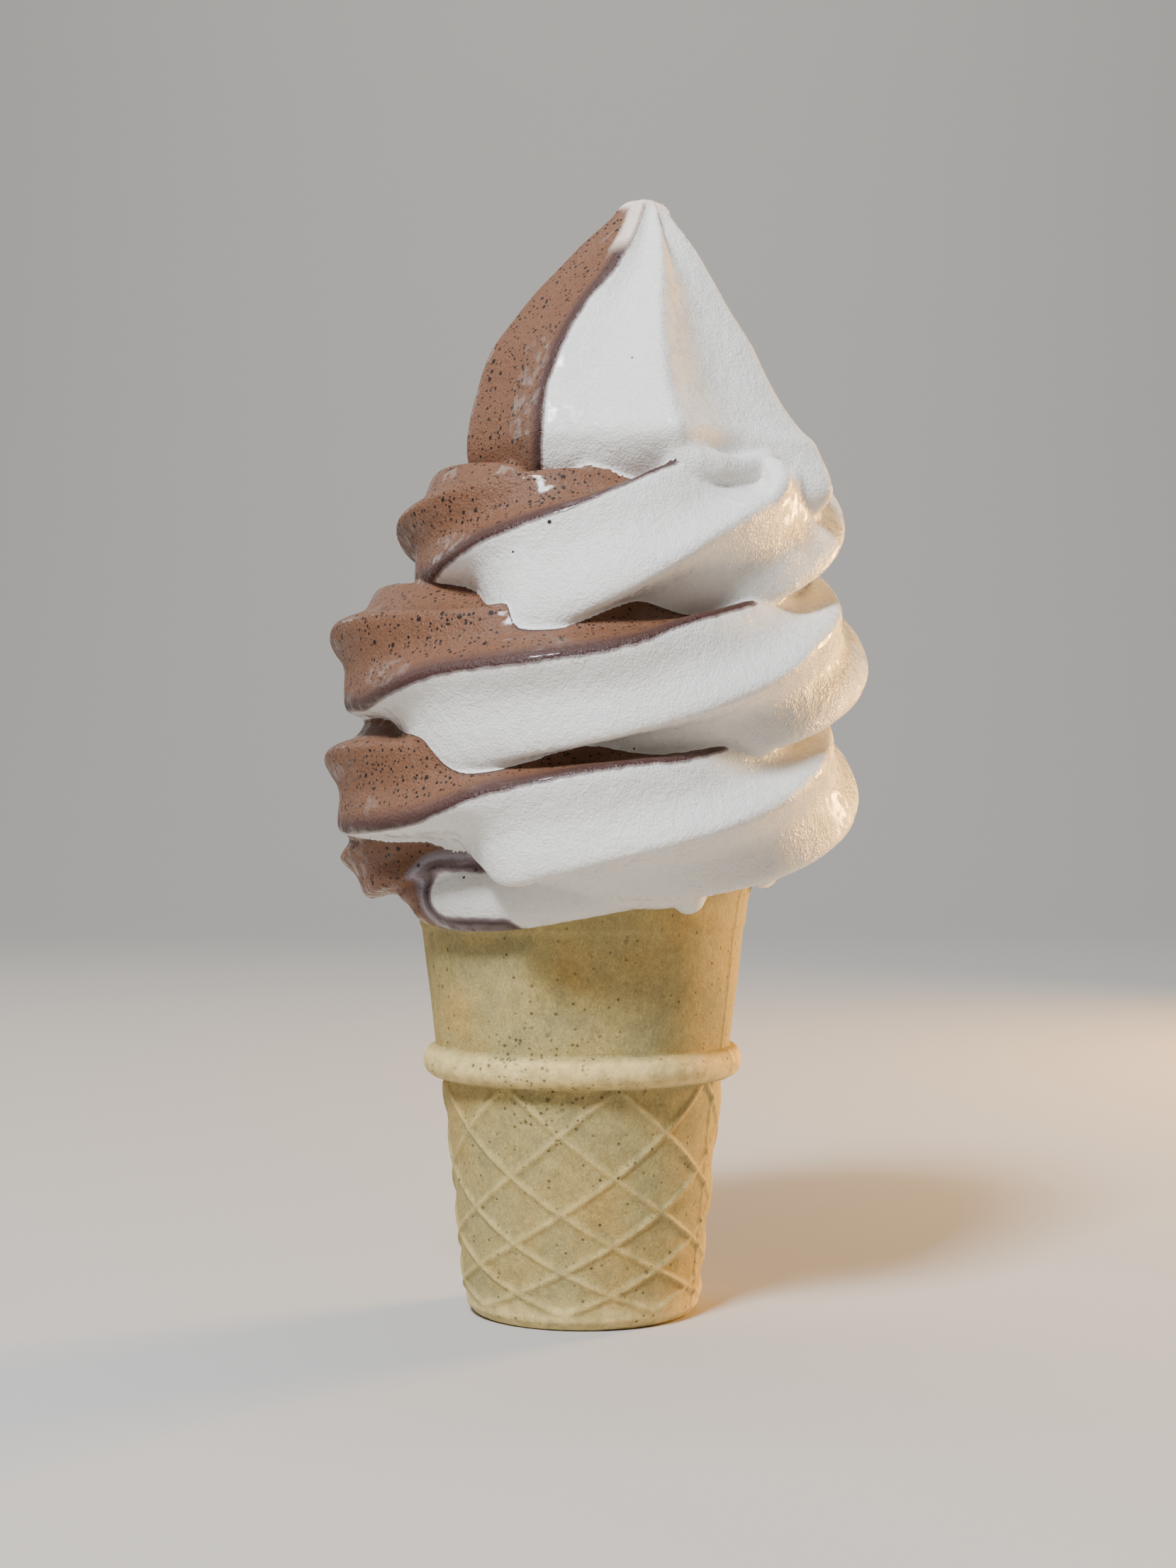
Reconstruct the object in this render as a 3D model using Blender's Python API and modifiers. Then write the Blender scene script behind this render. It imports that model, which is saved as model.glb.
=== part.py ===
"""Twist soft serve in a flat-based wafer cone, standing on its base.

The origin is the centre of the flat base, +Z is up and -Y is the front.
Two solids: the moulded wafer cone, and the soft serve that fills it and
coils up over its rim to a point. All lengths are in metres.
"""

import math

import bmesh
import bpy

MM = 0.001

# Wafer cone, outside radii and heights
CONE_HEIGHT = 70.7 * MM
BASE_RADIUS = 17.8 * MM
FOOT_RADIUS = 19.2 * MM
FOOT_HEIGHT = 4.4 * MM
LATTICE_TOP_RADIUS = 22.7 * MM
RING_HEIGHT = 40.8 * MM
RING_RADIUS = 26.0 * MM
RING_HALF_WIDTH = 2.6 * MM
CUP_RADIUS = 24.1 * MM
CUP_TOP_RADIUS = 26.3 * MM
COLLAR_HEIGHT = 62.5 * MM
COLLAR_RADIUS = 27.8 * MM
COLLAR_LIP = 1.6 * MM
COLLAR_RIM_IN = 0.5 * MM
COLLAR_STEP = 0.5 * MM
COLLAR_STEP_RISE = 3.0 * MM
FOOT_TAPER = 0.4 * MM
FOOT_TAPER_SHARE = 0.3

# Wafer cone, inside
WALL = 1.8 * MM
FLOOR = 2.2 * MM
FLOOR_CORNER_IN = 0.5 * MM
RIM_DROP = 0.2 * MM
TURNED_STEPS = 48

# Raised diamond lattice below the ring
RIB_COUNT = 8
RIB_RADIUS = 0.75 * MM
RIB_PROUD = 0.42 * MM
RIB_STEPS = 9
RIB_HAND_OFFSET = 0.06 * MM
RIB_SWEEP = math.radians(132.0)
RIB_BOTTOM = 3.0 * MM

# Rope of soft serve: coil angle in degrees, then coil radius, rope radius and lift in millimetres.
# The coil angle grows anticlockwise from +X seen from above, and the lift is the height above an even helix.
ROPE_STATIONS = (
    (150.0, 24.0, 6.0, 9.6),
    (180.0, 31.0, 7.6, 7.4),
    (225.0, 32.0, 8.3, 9.6),
    (270.0, 30.0, 8.8, 14.6),
    (300.0, 28.5, 9.2, 15.2),
    (360.0, 27.0, 10.0, 11.4),
    (450.0, 29.5, 11.8, 4.5),
    (540.0, 31.3, 12.6, 1.0),
    (1080.0, 31.3, 12.6, 0.0),
    (1260.0, 25.0, 12.2, -0.8),
    (1440.0, 22.2, 12.8, 0.0),
    (1620.0, 10.0, 9.0, 0.0),
)
COIL_PITCH = 20.9 * MM
COIL_LEVEL = 86.2 * MM
COIL_LEVEL_ANGLE = 630.0
COIL_TILT_X = -4.7 * MM
COIL_TILT_Y = 6.0 * MM
COIL_STEP = 12.0

# Star nozzle section
LOBES = 6
LOBE_POINTS = 4
LOBE_DEPTH = 0.17
LOBE_ROUND = 0.16
LOBE_AZIMUTH = 256.0
LOBE_DRIFT = -0.015

# Lean of the swirl's middle line: height and sideways shift, in millimetres
LEAN_STATIONS = ((60.0, 0.0), (86.0, 1.2), (107.0, 2.2), (127.0, 6.6), (150.0, 7.6), (168.0, 7.9), (182.0, 10.2))
LEAN_FORWARD = -0.45

# Peak: height and radius, in millimetres, from the core in the cup to the point
PEAK_STATIONS = (
    (72.0, 24.0),
    (80.0, 22.5),
    (118.0, 21.5),
    (128.0, 25.5),
    (136.0, 28.6),
    (142.2, 27.8),
    (148.0, 25.4),
    (155.4, 22.2),
    (168.0, 13.8),
    (175.9, 7.5),
    (178.5, 5.2),
    (180.9, 2.6),
)
PEAK_ROUND_BELOW = 120.0 * MM
PEAK_STAR_ABOVE = 134.0 * MM
PEAK_AZIMUTH = 276.0
PEAK_DRIFT = 330.0
PEAK_STEP = 2.2 * MM
PEAK_POINTS = 48

# Joining the rope, peak and plug into one solid
BLEND_VOXEL = 0.9 * MM
BLEND_KEEP = 0.034
GAP = 0.3 * MM
OVERFILL = 0.6 * MM
PLUG_RISE = 8.0 * MM
CUTTER_BOTTOM = -5.0 * MM
MERGE = 0.00001

WAFER_COLOUR = (0.62, 0.49, 0.27, 1.0)
SOFT_SERVE_COLOUR = (0.80, 0.79, 0.74, 1.0)


def new_collection(name):
    """Make a collection under the scene."""
    found = bpy.data.collections.new(name)
    bpy.context.scene.collection.children.link(found)
    return found


def material(name, colour, roughness):
    """Make a plain Principled material."""
    made = bpy.data.materials.new(name)
    made.use_nodes = True
    shader = made.node_tree.nodes["Principled BSDF"]
    shader.inputs["Base Color"].default_value = colour
    shader.inputs["Roughness"].default_value = roughness
    shader.inputs["Metallic"].default_value = 0.0
    return made


def add_object(name, data, collection):
    """Link new object data into a collection."""
    made = bpy.data.objects.new(name, data)
    collection.objects.link(made)
    return made


def as_cutter(piece):
    """Mark an object as a helper that isn't part of the model."""
    piece.hide_render = True
    piece.display_type = "WIRE"


def solid_copy(name, source, collection):
    """Turn an object into a mesh with welded caps, and remove the object."""
    graph = bpy.context.evaluated_depsgraph_get()
    mesh = bpy.data.meshes.new_from_object(source.evaluated_get(graph))
    mesh.name = name
    shape = bmesh.new()
    shape.from_mesh(mesh)
    bmesh.ops.remove_doubles(shape, verts=shape.verts, dist=MERGE)
    bmesh.ops.recalc_face_normals(shape, faces=shape.faces)
    shape.to_mesh(mesh)
    shape.free()
    made = add_object(name, mesh, collection)
    made.matrix_world = source.matrix_world.copy()
    bpy.data.objects.remove(source)
    return made


def turned(name, profile, collection):
    """Turn a profile of (radius, height) points round the Z axis."""
    mesh = bpy.data.meshes.new(name)
    points = [(radius, 0.0, height) for radius, height in profile]
    edges = [(i, i + 1) for i in range(len(points) - 1)]
    mesh.from_pydata(points, edges, [])
    made = add_object(name, mesh, collection)
    screw = made.modifiers.new("turn", "SCREW")
    screw.axis = "Z"
    screw.angle = 2.0 * math.pi
    screw.steps = TURNED_STEPS
    screw.render_steps = TURNED_STEPS
    screw.use_merge_vertices = True
    screw.merge_threshold = MERGE
    return made


def between(stations, column, at):
    """Read one column of a station table at a value of its first column, with straight runs between."""
    if at <= stations[0][0]:
        return stations[0][column]
    for low, high in zip(stations, stations[1:]):
        if at <= high[0]:
            share = (at - low[0]) / (high[0] - low[0])
            return low[column] + share * (high[column] - low[column])
    return stations[-1][column]


# ---------------------------------------------------------------- wafer cone


def outer_wall():
    """Outside of the cone from the collar down to the base, as (radius, height)."""
    points = [
        (COLLAR_RADIUS - COLLAR_RIM_IN, CONE_HEIGHT),
        (COLLAR_RADIUS, CONE_HEIGHT - COLLAR_LIP),
        (CUP_TOP_RADIUS + COLLAR_STEP, COLLAR_HEIGHT + COLLAR_STEP_RISE),
        (CUP_TOP_RADIUS, COLLAR_HEIGHT),
    ]
    points += ring_bead()
    points += [
        (FOOT_RADIUS, FOOT_HEIGHT),
        (FOOT_RADIUS - FOOT_TAPER, FOOT_TAPER_SHARE * FOOT_HEIGHT),
        (BASE_RADIUS, 0.0),
    ]
    return points


def ring_bead(steps=6):
    """Rounded bead round the cone's waist, which also steps the wall in below it."""
    points = []
    for step in range(steps + 1):
        turn = math.pi * (0.5 - step / steps)
        foot = CUP_RADIUS if step < steps / 2 else LATTICE_TOP_RADIUS
        radius = foot + (RING_RADIUS - foot) * math.cos(turn)
        points.append((radius, RING_HEIGHT + RING_HALF_WIDTH * math.sin(turn)))
    return points


def inner_wall():
    """Inside of the cone from the floor up to the rim, as (radius, height)."""
    return [
        (FOOT_RADIUS - WALL - FLOOR_CORNER_IN, FLOOR),
        (LATTICE_TOP_RADIUS - WALL, RING_HEIGHT - RING_HALF_WIDTH),
        (CUP_RADIUS - WALL, RING_HEIGHT + RING_HALF_WIDTH),
        (COLLAR_RADIUS - WALL, CONE_HEIGHT - RIM_DROP),
    ]


def build_ribs(collection):
    """Raised ribs that cross in diamonds, one helical bar at a time."""
    top = RING_HEIGHT - 0.5 * RING_HALF_WIDTH
    made = []
    for hand in (1.0, -1.0):
        for index in range(RIB_COUNT):
            start = 2.0 * math.pi * (index + 0.5) / RIB_COUNT
            curve = bpy.data.curves.new("rib", "CURVE")
            curve.dimensions = "3D"
            curve.bevel_depth = RIB_RADIUS
            curve.bevel_resolution = 0
            curve.use_fill_caps = True
            spline = curve.splines.new("POLY")
            spline.points.add(RIB_STEPS)
            for step, point in enumerate(spline.points):
                share = step / RIB_STEPS
                height = RIB_BOTTOM + share * (top - RIB_BOTTOM)
                wall = FOOT_RADIUS + (LATTICE_TOP_RADIUS - FOOT_RADIUS) * height / (top - FOOT_HEIGHT)
                radius = wall - RIB_RADIUS + RIB_PROUD + hand * RIB_HAND_OFFSET
                angle = start + hand * share * RIB_SWEEP
                point.co = (radius * math.cos(angle), radius * math.sin(angle), height, 1.0)
            bar = add_object("rib", curve, collection)
            bpy.context.view_layer.update()
            made.append(solid_copy("rib", bar, collection))
    return made


def build_cone(parts, cutters):
    """The wafer cone: a turned shell with its lattice ribs joined on."""
    profile = [(0.0, FLOOR)] + inner_wall() + outer_wall() + [(0.0, 0.0)]
    cone = turned("wafer_cone", profile, parts)
    for rib in build_ribs(cutters):
        as_cutter(rib)
        join = cone.modifiers.new("rib", "BOOLEAN")
        join.operation = "UNION"
        join.solver = "EXACT"
        join.object = rib
    cone.data.materials.append(material("baked_wafer", WAFER_COLOUR, 0.7))
    return cone


# ---------------------------------------------------------------- soft serve


def star(angle):
    """Share of the full radius at an angle from a lobe's crest: sharp crests, rounded hollows."""
    wave = math.sqrt(math.sin(0.5 * LOBES * angle) ** 2 + LOBE_ROUND**2) - LOBE_ROUND
    return 1.0 - LOBE_DEPTH * wave / (math.sqrt(1.0 + LOBE_ROUND**2) - LOBE_ROUND)


def rope_centre(coil_angle):
    """Centre of the rope at a coil angle in degrees."""
    turn = math.radians(coil_angle)
    height = COIL_LEVEL + COIL_PITCH * (coil_angle - COIL_LEVEL_ANGLE) / 360.0
    height += COIL_TILT_X * math.cos(turn) + COIL_TILT_Y * math.sin(turn)
    height += between(ROPE_STATIONS, 3, coil_angle) * MM
    radius = between(ROPE_STATIONS, 1, coil_angle) * MM
    lean = between(LEAN_STATIONS, 1, height / MM) * MM
    return lean + radius * math.cos(turn), lean * LEAN_FORWARD + radius * math.sin(turn), height


def build_nozzle_section(collection):
    """Outline of the star nozzle, of unit radius, with a crest on its +X side."""
    curve = bpy.data.curves.new("nozzle", "CURVE")
    curve.dimensions = "2D"
    spline = curve.splines.new("POLY")
    count = LOBES * LOBE_POINTS
    spline.points.add(count - 1)
    for index, point in enumerate(spline.points):
        angle = 2.0 * math.pi * index / count
        point.co = (star(angle) * math.cos(angle), star(angle) * math.sin(angle), 0.0, 1.0)
    spline.use_cyclic_u = True
    return add_object("nozzle", curve, collection)


def build_rope(collection):
    """The coiled rope: the star section swept along the coil, its lobes keeping their compass direction."""
    nozzle = build_nozzle_section(collection)
    curve = bpy.data.curves.new("rope", "CURVE")
    curve.dimensions = "3D"
    curve.twist_mode = "Z_UP"
    curve.bevel_mode = "OBJECT"
    curve.bevel_object = nozzle
    curve.use_fill_caps = True
    spline = curve.splines.new("POLY")
    first = ROPE_STATIONS[0][0]
    count = int((ROPE_STATIONS[-1][0] - first) / COIL_STEP)
    spline.points.add(count)
    for index, point in enumerate(spline.points):
        coil_angle = first + index * COIL_STEP
        point.co = (*rope_centre(coil_angle), 1.0)
        point.radius = between(ROPE_STATIONS, 2, coil_angle) * MM
        crest = LOBE_AZIMUTH + LOBE_DRIFT * (coil_angle - COIL_LEVEL_ANGLE)
        point.tilt = -math.radians(coil_angle - crest)
    rope = add_object("rope", curve, collection)
    bpy.context.view_layer.update()
    solid = solid_copy("rope", rope, collection)
    bpy.data.objects.remove(nozzle)
    return solid


def build_peak(collection):
    """The core and peak: a loft from a round column in the cup to a star-shaped point."""
    shape = bmesh.new()
    low = PEAK_STATIONS[0][0] * MM
    high = PEAK_STATIONS[-1][0] * MM
    rings = int((high - low) / PEAK_STEP)
    last = None
    for ring in range(rings + 1):
        height = low + (high - low) * ring / rings
        radius = between(PEAK_STATIONS, 1, height / MM) * MM
        lean = between(LEAN_STATIONS, 1, height / MM) * MM
        starred = min(max((height - PEAK_ROUND_BELOW) / (PEAK_STAR_ABOVE - PEAK_ROUND_BELOW), 0.0), 1.0)
        crest = math.radians(PEAK_AZIMUTH + PEAK_DRIFT * (height - PEAK_STAR_ABOVE))
        verts = []
        for index in range(PEAK_POINTS):
            angle = 2.0 * math.pi * index / PEAK_POINTS
            reach = radius * (1.0 + starred * (star(angle - crest) - 1.0))
            place = (lean + reach * math.cos(angle), lean * LEAN_FORWARD + reach * math.sin(angle), height)
            verts.append(shape.verts.new(place))
        if last is None:
            shape.faces.new(list(reversed(verts)))
        else:
            for index in range(PEAK_POINTS):
                after = (index + 1) % PEAK_POINTS
                shape.faces.new((last[index], last[after], verts[after], verts[index]))
        last = verts
    shape.faces.new(last)
    mesh = bpy.data.meshes.new("peak")
    shape.to_mesh(mesh)
    shape.free()
    return add_object("peak", mesh, collection)


def build_plug(collection):
    """What fills the cup, a little over size, before the cup's own shape is cut out of it."""
    inside = [(radius + OVERFILL, height) for radius, height in inner_wall()]
    top = (inside[-1][0] - WALL, CONE_HEIGHT + PLUG_RISE)
    bottom = (0.0, FLOOR - OVERFILL)
    first = (inside[0][0], FLOOR - OVERFILL)
    profile = [(0.0, top[1]), top] + list(reversed(inside[1:])) + [first, bottom]
    plug = turned("plug", profile, collection)
    bpy.context.view_layer.update()
    return solid_copy("plug", plug, collection)


def build_cup_cutter(collection):
    """The wafer cone's own shape, grown all round by the gap."""
    grown_in = [(radius - GAP, height) for radius, height in inner_wall()]
    grown_in[0] = (grown_in[0][0], FLOOR + GAP)
    grown_in[-1] = (grown_in[-1][0], CONE_HEIGHT + GAP)
    grown_out = [(radius + GAP, height) for radius, height in outer_wall()]
    grown_out[0] = (grown_out[0][0], CONE_HEIGHT + GAP)
    grown_out[-1] = (grown_out[-1][0], CUTTER_BOTTOM)
    profile = [(0.0, FLOOR + GAP)] + grown_in + grown_out + [(0.0, CUTTER_BOTTOM)]
    cutter = turned("cup_cutter", profile, collection)
    as_cutter(cutter)
    return cutter


def build_soft_serve(parts, cutters):
    """The soft serve: rope, peak and plug blended into one solid, with the cup's shape cut out."""
    pieces = [build_rope(cutters), build_peak(cutters), build_plug(cutters)]
    whole = bmesh.new()
    for piece in pieces:
        whole.from_mesh(piece.data)
        bpy.data.objects.remove(piece)
    mesh = bpy.data.meshes.new("soft_serve")
    whole.to_mesh(mesh)
    whole.free()
    swirl = add_object("soft_serve", mesh, parts)
    blend = swirl.modifiers.new("blend", "REMESH")
    blend.mode = "VOXEL"
    blend.voxel_size = BLEND_VOXEL
    thin = swirl.modifiers.new("thin", "DECIMATE")
    thin.decimate_type = "COLLAPSE"
    thin.ratio = BLEND_KEEP
    thin.use_collapse_triangulate = True
    cut = swirl.modifiers.new("cup", "BOOLEAN")
    cut.operation = "DIFFERENCE"
    cut.solver = "EXACT"
    cut.object = build_cup_cutter(cutters)
    swirl.data.materials.append(material("soft_serve", SOFT_SERVE_COLOUR, 0.35))
    return swirl


def main():
    """Clear the scene and build the cone and the soft serve."""
    for old in list(bpy.data.objects):
        bpy.data.objects.remove(old)
    parts = new_collection("soft_serve_cone")
    cutters = new_collection("cutters")
    cone = build_cone(parts, cutters)
    build_soft_serve(parts, cutters)
    cone.data.shade_smooth()


main()
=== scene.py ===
"""Twist soft serve in a moulded wafer cone: the finished look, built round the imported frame.

The wafer cone becomes a turned shell with its lattice, ring, seams and baked crumb. The soft serve
becomes one coiled rope from a star nozzle, pulled up into a peak, half vanilla and half chocolate.
Lengths are in metres.
"""

import logging
import math
from dataclasses import dataclass, field
from enum import Enum

import bmesh
import bpy
import numpy as np
from mathutils import Matrix, Vector, noise


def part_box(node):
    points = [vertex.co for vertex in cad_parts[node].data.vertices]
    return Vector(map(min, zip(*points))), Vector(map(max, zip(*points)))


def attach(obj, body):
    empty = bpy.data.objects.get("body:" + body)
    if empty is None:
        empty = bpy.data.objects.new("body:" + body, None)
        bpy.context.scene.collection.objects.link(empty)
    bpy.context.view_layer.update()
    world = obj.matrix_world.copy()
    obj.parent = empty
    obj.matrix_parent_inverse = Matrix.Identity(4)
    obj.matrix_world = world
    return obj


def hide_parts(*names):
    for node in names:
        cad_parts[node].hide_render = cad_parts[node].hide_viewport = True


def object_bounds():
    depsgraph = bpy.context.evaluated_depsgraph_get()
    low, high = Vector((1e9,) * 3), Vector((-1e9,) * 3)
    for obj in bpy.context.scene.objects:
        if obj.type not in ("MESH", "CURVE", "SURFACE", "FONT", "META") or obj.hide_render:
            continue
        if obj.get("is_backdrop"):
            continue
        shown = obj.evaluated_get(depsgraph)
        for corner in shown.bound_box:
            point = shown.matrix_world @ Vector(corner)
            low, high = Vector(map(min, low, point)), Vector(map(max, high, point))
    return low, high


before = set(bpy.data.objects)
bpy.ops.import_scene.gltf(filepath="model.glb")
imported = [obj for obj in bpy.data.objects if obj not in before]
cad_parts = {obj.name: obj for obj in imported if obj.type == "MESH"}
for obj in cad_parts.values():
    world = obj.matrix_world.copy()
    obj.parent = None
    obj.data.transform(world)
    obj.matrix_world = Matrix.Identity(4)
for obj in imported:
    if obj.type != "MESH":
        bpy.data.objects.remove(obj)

MM = 0.001
BODY = "root"
log = logging.getLogger("soft_serve_cone")


class Node(Enum):
    """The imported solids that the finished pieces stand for."""

    WAFER = "wafer_cone"
    SWIRL = "soft_serve"


class Slot(Enum):
    """The record's material slots."""

    WAFER = "baked_wafer"
    SWIRL = "soft_serve"


class Hand(Enum):
    """Which way a helical rib climbs round the cone."""

    RIGHT = 1.0
    LEFT = -1.0


# ---------------------------------------------------------------- small helpers


def linear(hex_colour: str, alpha: float = 1.0) -> tuple[float, float, float, float]:
    """Turn an sRGB hex colour into linear values.

    Args:
        hex_colour: a colour such as "#D9C497".
        alpha: opacity, 1 for solid.

    Returns:
        Red, green, blue and alpha, the colours linear.
    """
    parts = [int(hex_colour[i : i + 2], 16) / 255.0 for i in (1, 3, 5)]
    red, green, blue = [c / 12.92 if c <= 0.04045 else ((c + 0.055) / 1.055) ** 2.4 for c in parts]
    return red, green, blue, alpha


def add(
    tree: bpy.types.NodeTree, kind: str, inputs: dict | None = None, **settings: object
) -> bpy.types.Node:
    """Add a shader node with its settings, and link or set its inputs.

    Args:
        tree: the node tree to add to.
        kind: the node's type name.
        inputs: values or output sockets by input name or number.
        settings: properties of the node itself.

    Returns:
        The new node.
    """
    made = tree.nodes.new(kind)
    for name, value in settings.items():
        setattr(made, name, value)
    for name, value in (inputs or {}).items():
        if isinstance(value, bpy.types.NodeSocket):
            tree.links.new(value, made.inputs[name])
        else:
            made.inputs[name].default_value = value
    return made


def eased(values: np.ndarray, low: float, high: float) -> np.ndarray:
    """Ease from 0 to 1.

    Args:
        values: the values to ease.
        low: where it leaves 0.
        high: where it reaches 1.

    Returns:
        The eased share for each value.
    """
    share = np.clip((np.asarray(values, float) - low) / (high - low), 0.0, 1.0)
    return share * share * (3.0 - 2.0 * share)


@dataclass(frozen=True)
class Track:
    """Values that run smoothly from station to station.

    Attributes:
        stations: rows of a position and the values there, in rising order of position.
    """

    stations: tuple[tuple[float, ...], ...]

    @property
    def first(self) -> float:
        """Position of the first station."""
        return self.stations[0][0]

    @property
    def last(self) -> float:
        """Position of the last station."""
        return self.stations[-1][0]

    def at(self, positions: np.ndarray, column: int = 1) -> np.ndarray:
        """Read a column along the track, on a curve that doesn't overshoot its stations.

        Args:
            positions: where to read.
            column: which value of the rows.

        Returns:
            The values at those positions.
        """
        table = np.array(self.stations, float)
        x, y = table[:, 0], table[:, column]
        step = np.diff(x)
        slope = np.diff(y) / step
        tangent = np.zeros_like(x)
        joined = slope[:-1] * slope[1:] > 0.0
        before, after = slope[:-1][joined], slope[1:][joined]
        tangent[1:-1][joined] = 2.0 * before * after / (before + after)
        tangent[0], tangent[-1] = slope[0], slope[-1]
        where = np.clip(np.asarray(positions, float), x[0], x[-1])
        i = np.clip(np.searchsorted(x, where) - 1, 0, len(step) - 1)
        t = (where - x[i]) / step[i]
        t2, t3 = t * t, t * t * t
        ends = (2.0 * t3 - 3.0 * t2 + 1.0) * y[i] + (3.0 * t2 - 2.0 * t3) * y[i + 1]
        bends = (t3 - 2.0 * t2 + t) * tangent[i] + (t3 - t2) * tangent[i + 1]
        return ends + bends * step[i]


def link(name: str, mesh: bpy.types.Mesh) -> bpy.types.Object:
    """Put a mesh in the scene as an object at the origin.

    Args:
        name: the object's name.
        mesh: its mesh.

    Returns:
        The new object.
    """
    made = bpy.data.objects.new(name, mesh)
    bpy.context.scene.collection.objects.link(made)
    return made


def mesh_from(name: str, shape: bmesh.types.BMesh) -> bpy.types.Mesh:
    """Turn a bmesh into a named mesh with its faces pointing outwards, and free it.

    Args:
        name: the mesh's name.
        shape: the bmesh, which is used up.

    Returns:
        The new mesh.
    """
    bmesh.ops.recalc_face_normals(shape, faces=shape.faces)
    mesh = bpy.data.meshes.new(name)
    shape.to_mesh(mesh)
    shape.free()
    return mesh


def points_of(mesh: bpy.types.Mesh) -> np.ndarray:
    """Read all vertices of a mesh.

    Args:
        mesh: the mesh to read.

    Returns:
        Rows of x, y and z.
    """
    flat = np.empty(len(mesh.vertices) * 3)
    mesh.vertices.foreach_get("co", flat)
    return flat.reshape(-1, 3)


def set_points(mesh: bpy.types.Mesh, places: np.ndarray) -> None:
    """Move all vertices of a mesh.

    Args:
        mesh: the mesh to change.
        places: rows of x, y and z.
    """
    mesh.vertices.foreach_set("co", places.astype(np.float32).ravel())
    mesh.update()


def extrude_rings(shape: bmesh.types.BMesh, rings: list[np.ndarray]) -> None:
    """Grow a closed tube by extruding a circle through rings of the same number of points.

    Args:
        shape: the bmesh to add the tube to.
        rings: each ring's points in order.
    """
    count = len(rings[0])
    place = shape.verts.layers.int.get("place") or shape.verts.layers.int.new("place")
    made = bmesh.ops.create_circle(shape, cap_ends=False, segments=count, radius=1.0)
    verts = made["verts"]
    for index, vert in enumerate(verts):
        vert[place] = index
        vert.co = rings[0][index]
    edges = list({edge for vert in verts for edge in vert.link_edges})
    bmesh.ops.contextual_create(shape, geom=edges)
    for ring in rings[1:]:
        grown = bmesh.ops.extrude_edge_only(shape, edges=edges)["geom"]
        for vert in (item for item in grown if isinstance(item, bmesh.types.BMVert)):
            vert.co = ring[vert[place]]
        edges = [
            item
            for item in grown
            if isinstance(item, bmesh.types.BMEdge) and len(item.link_faces) == 1
        ]
    bmesh.ops.contextual_create(shape, geom=edges)


# ---------------------------------------------------------------- finishes


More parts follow.
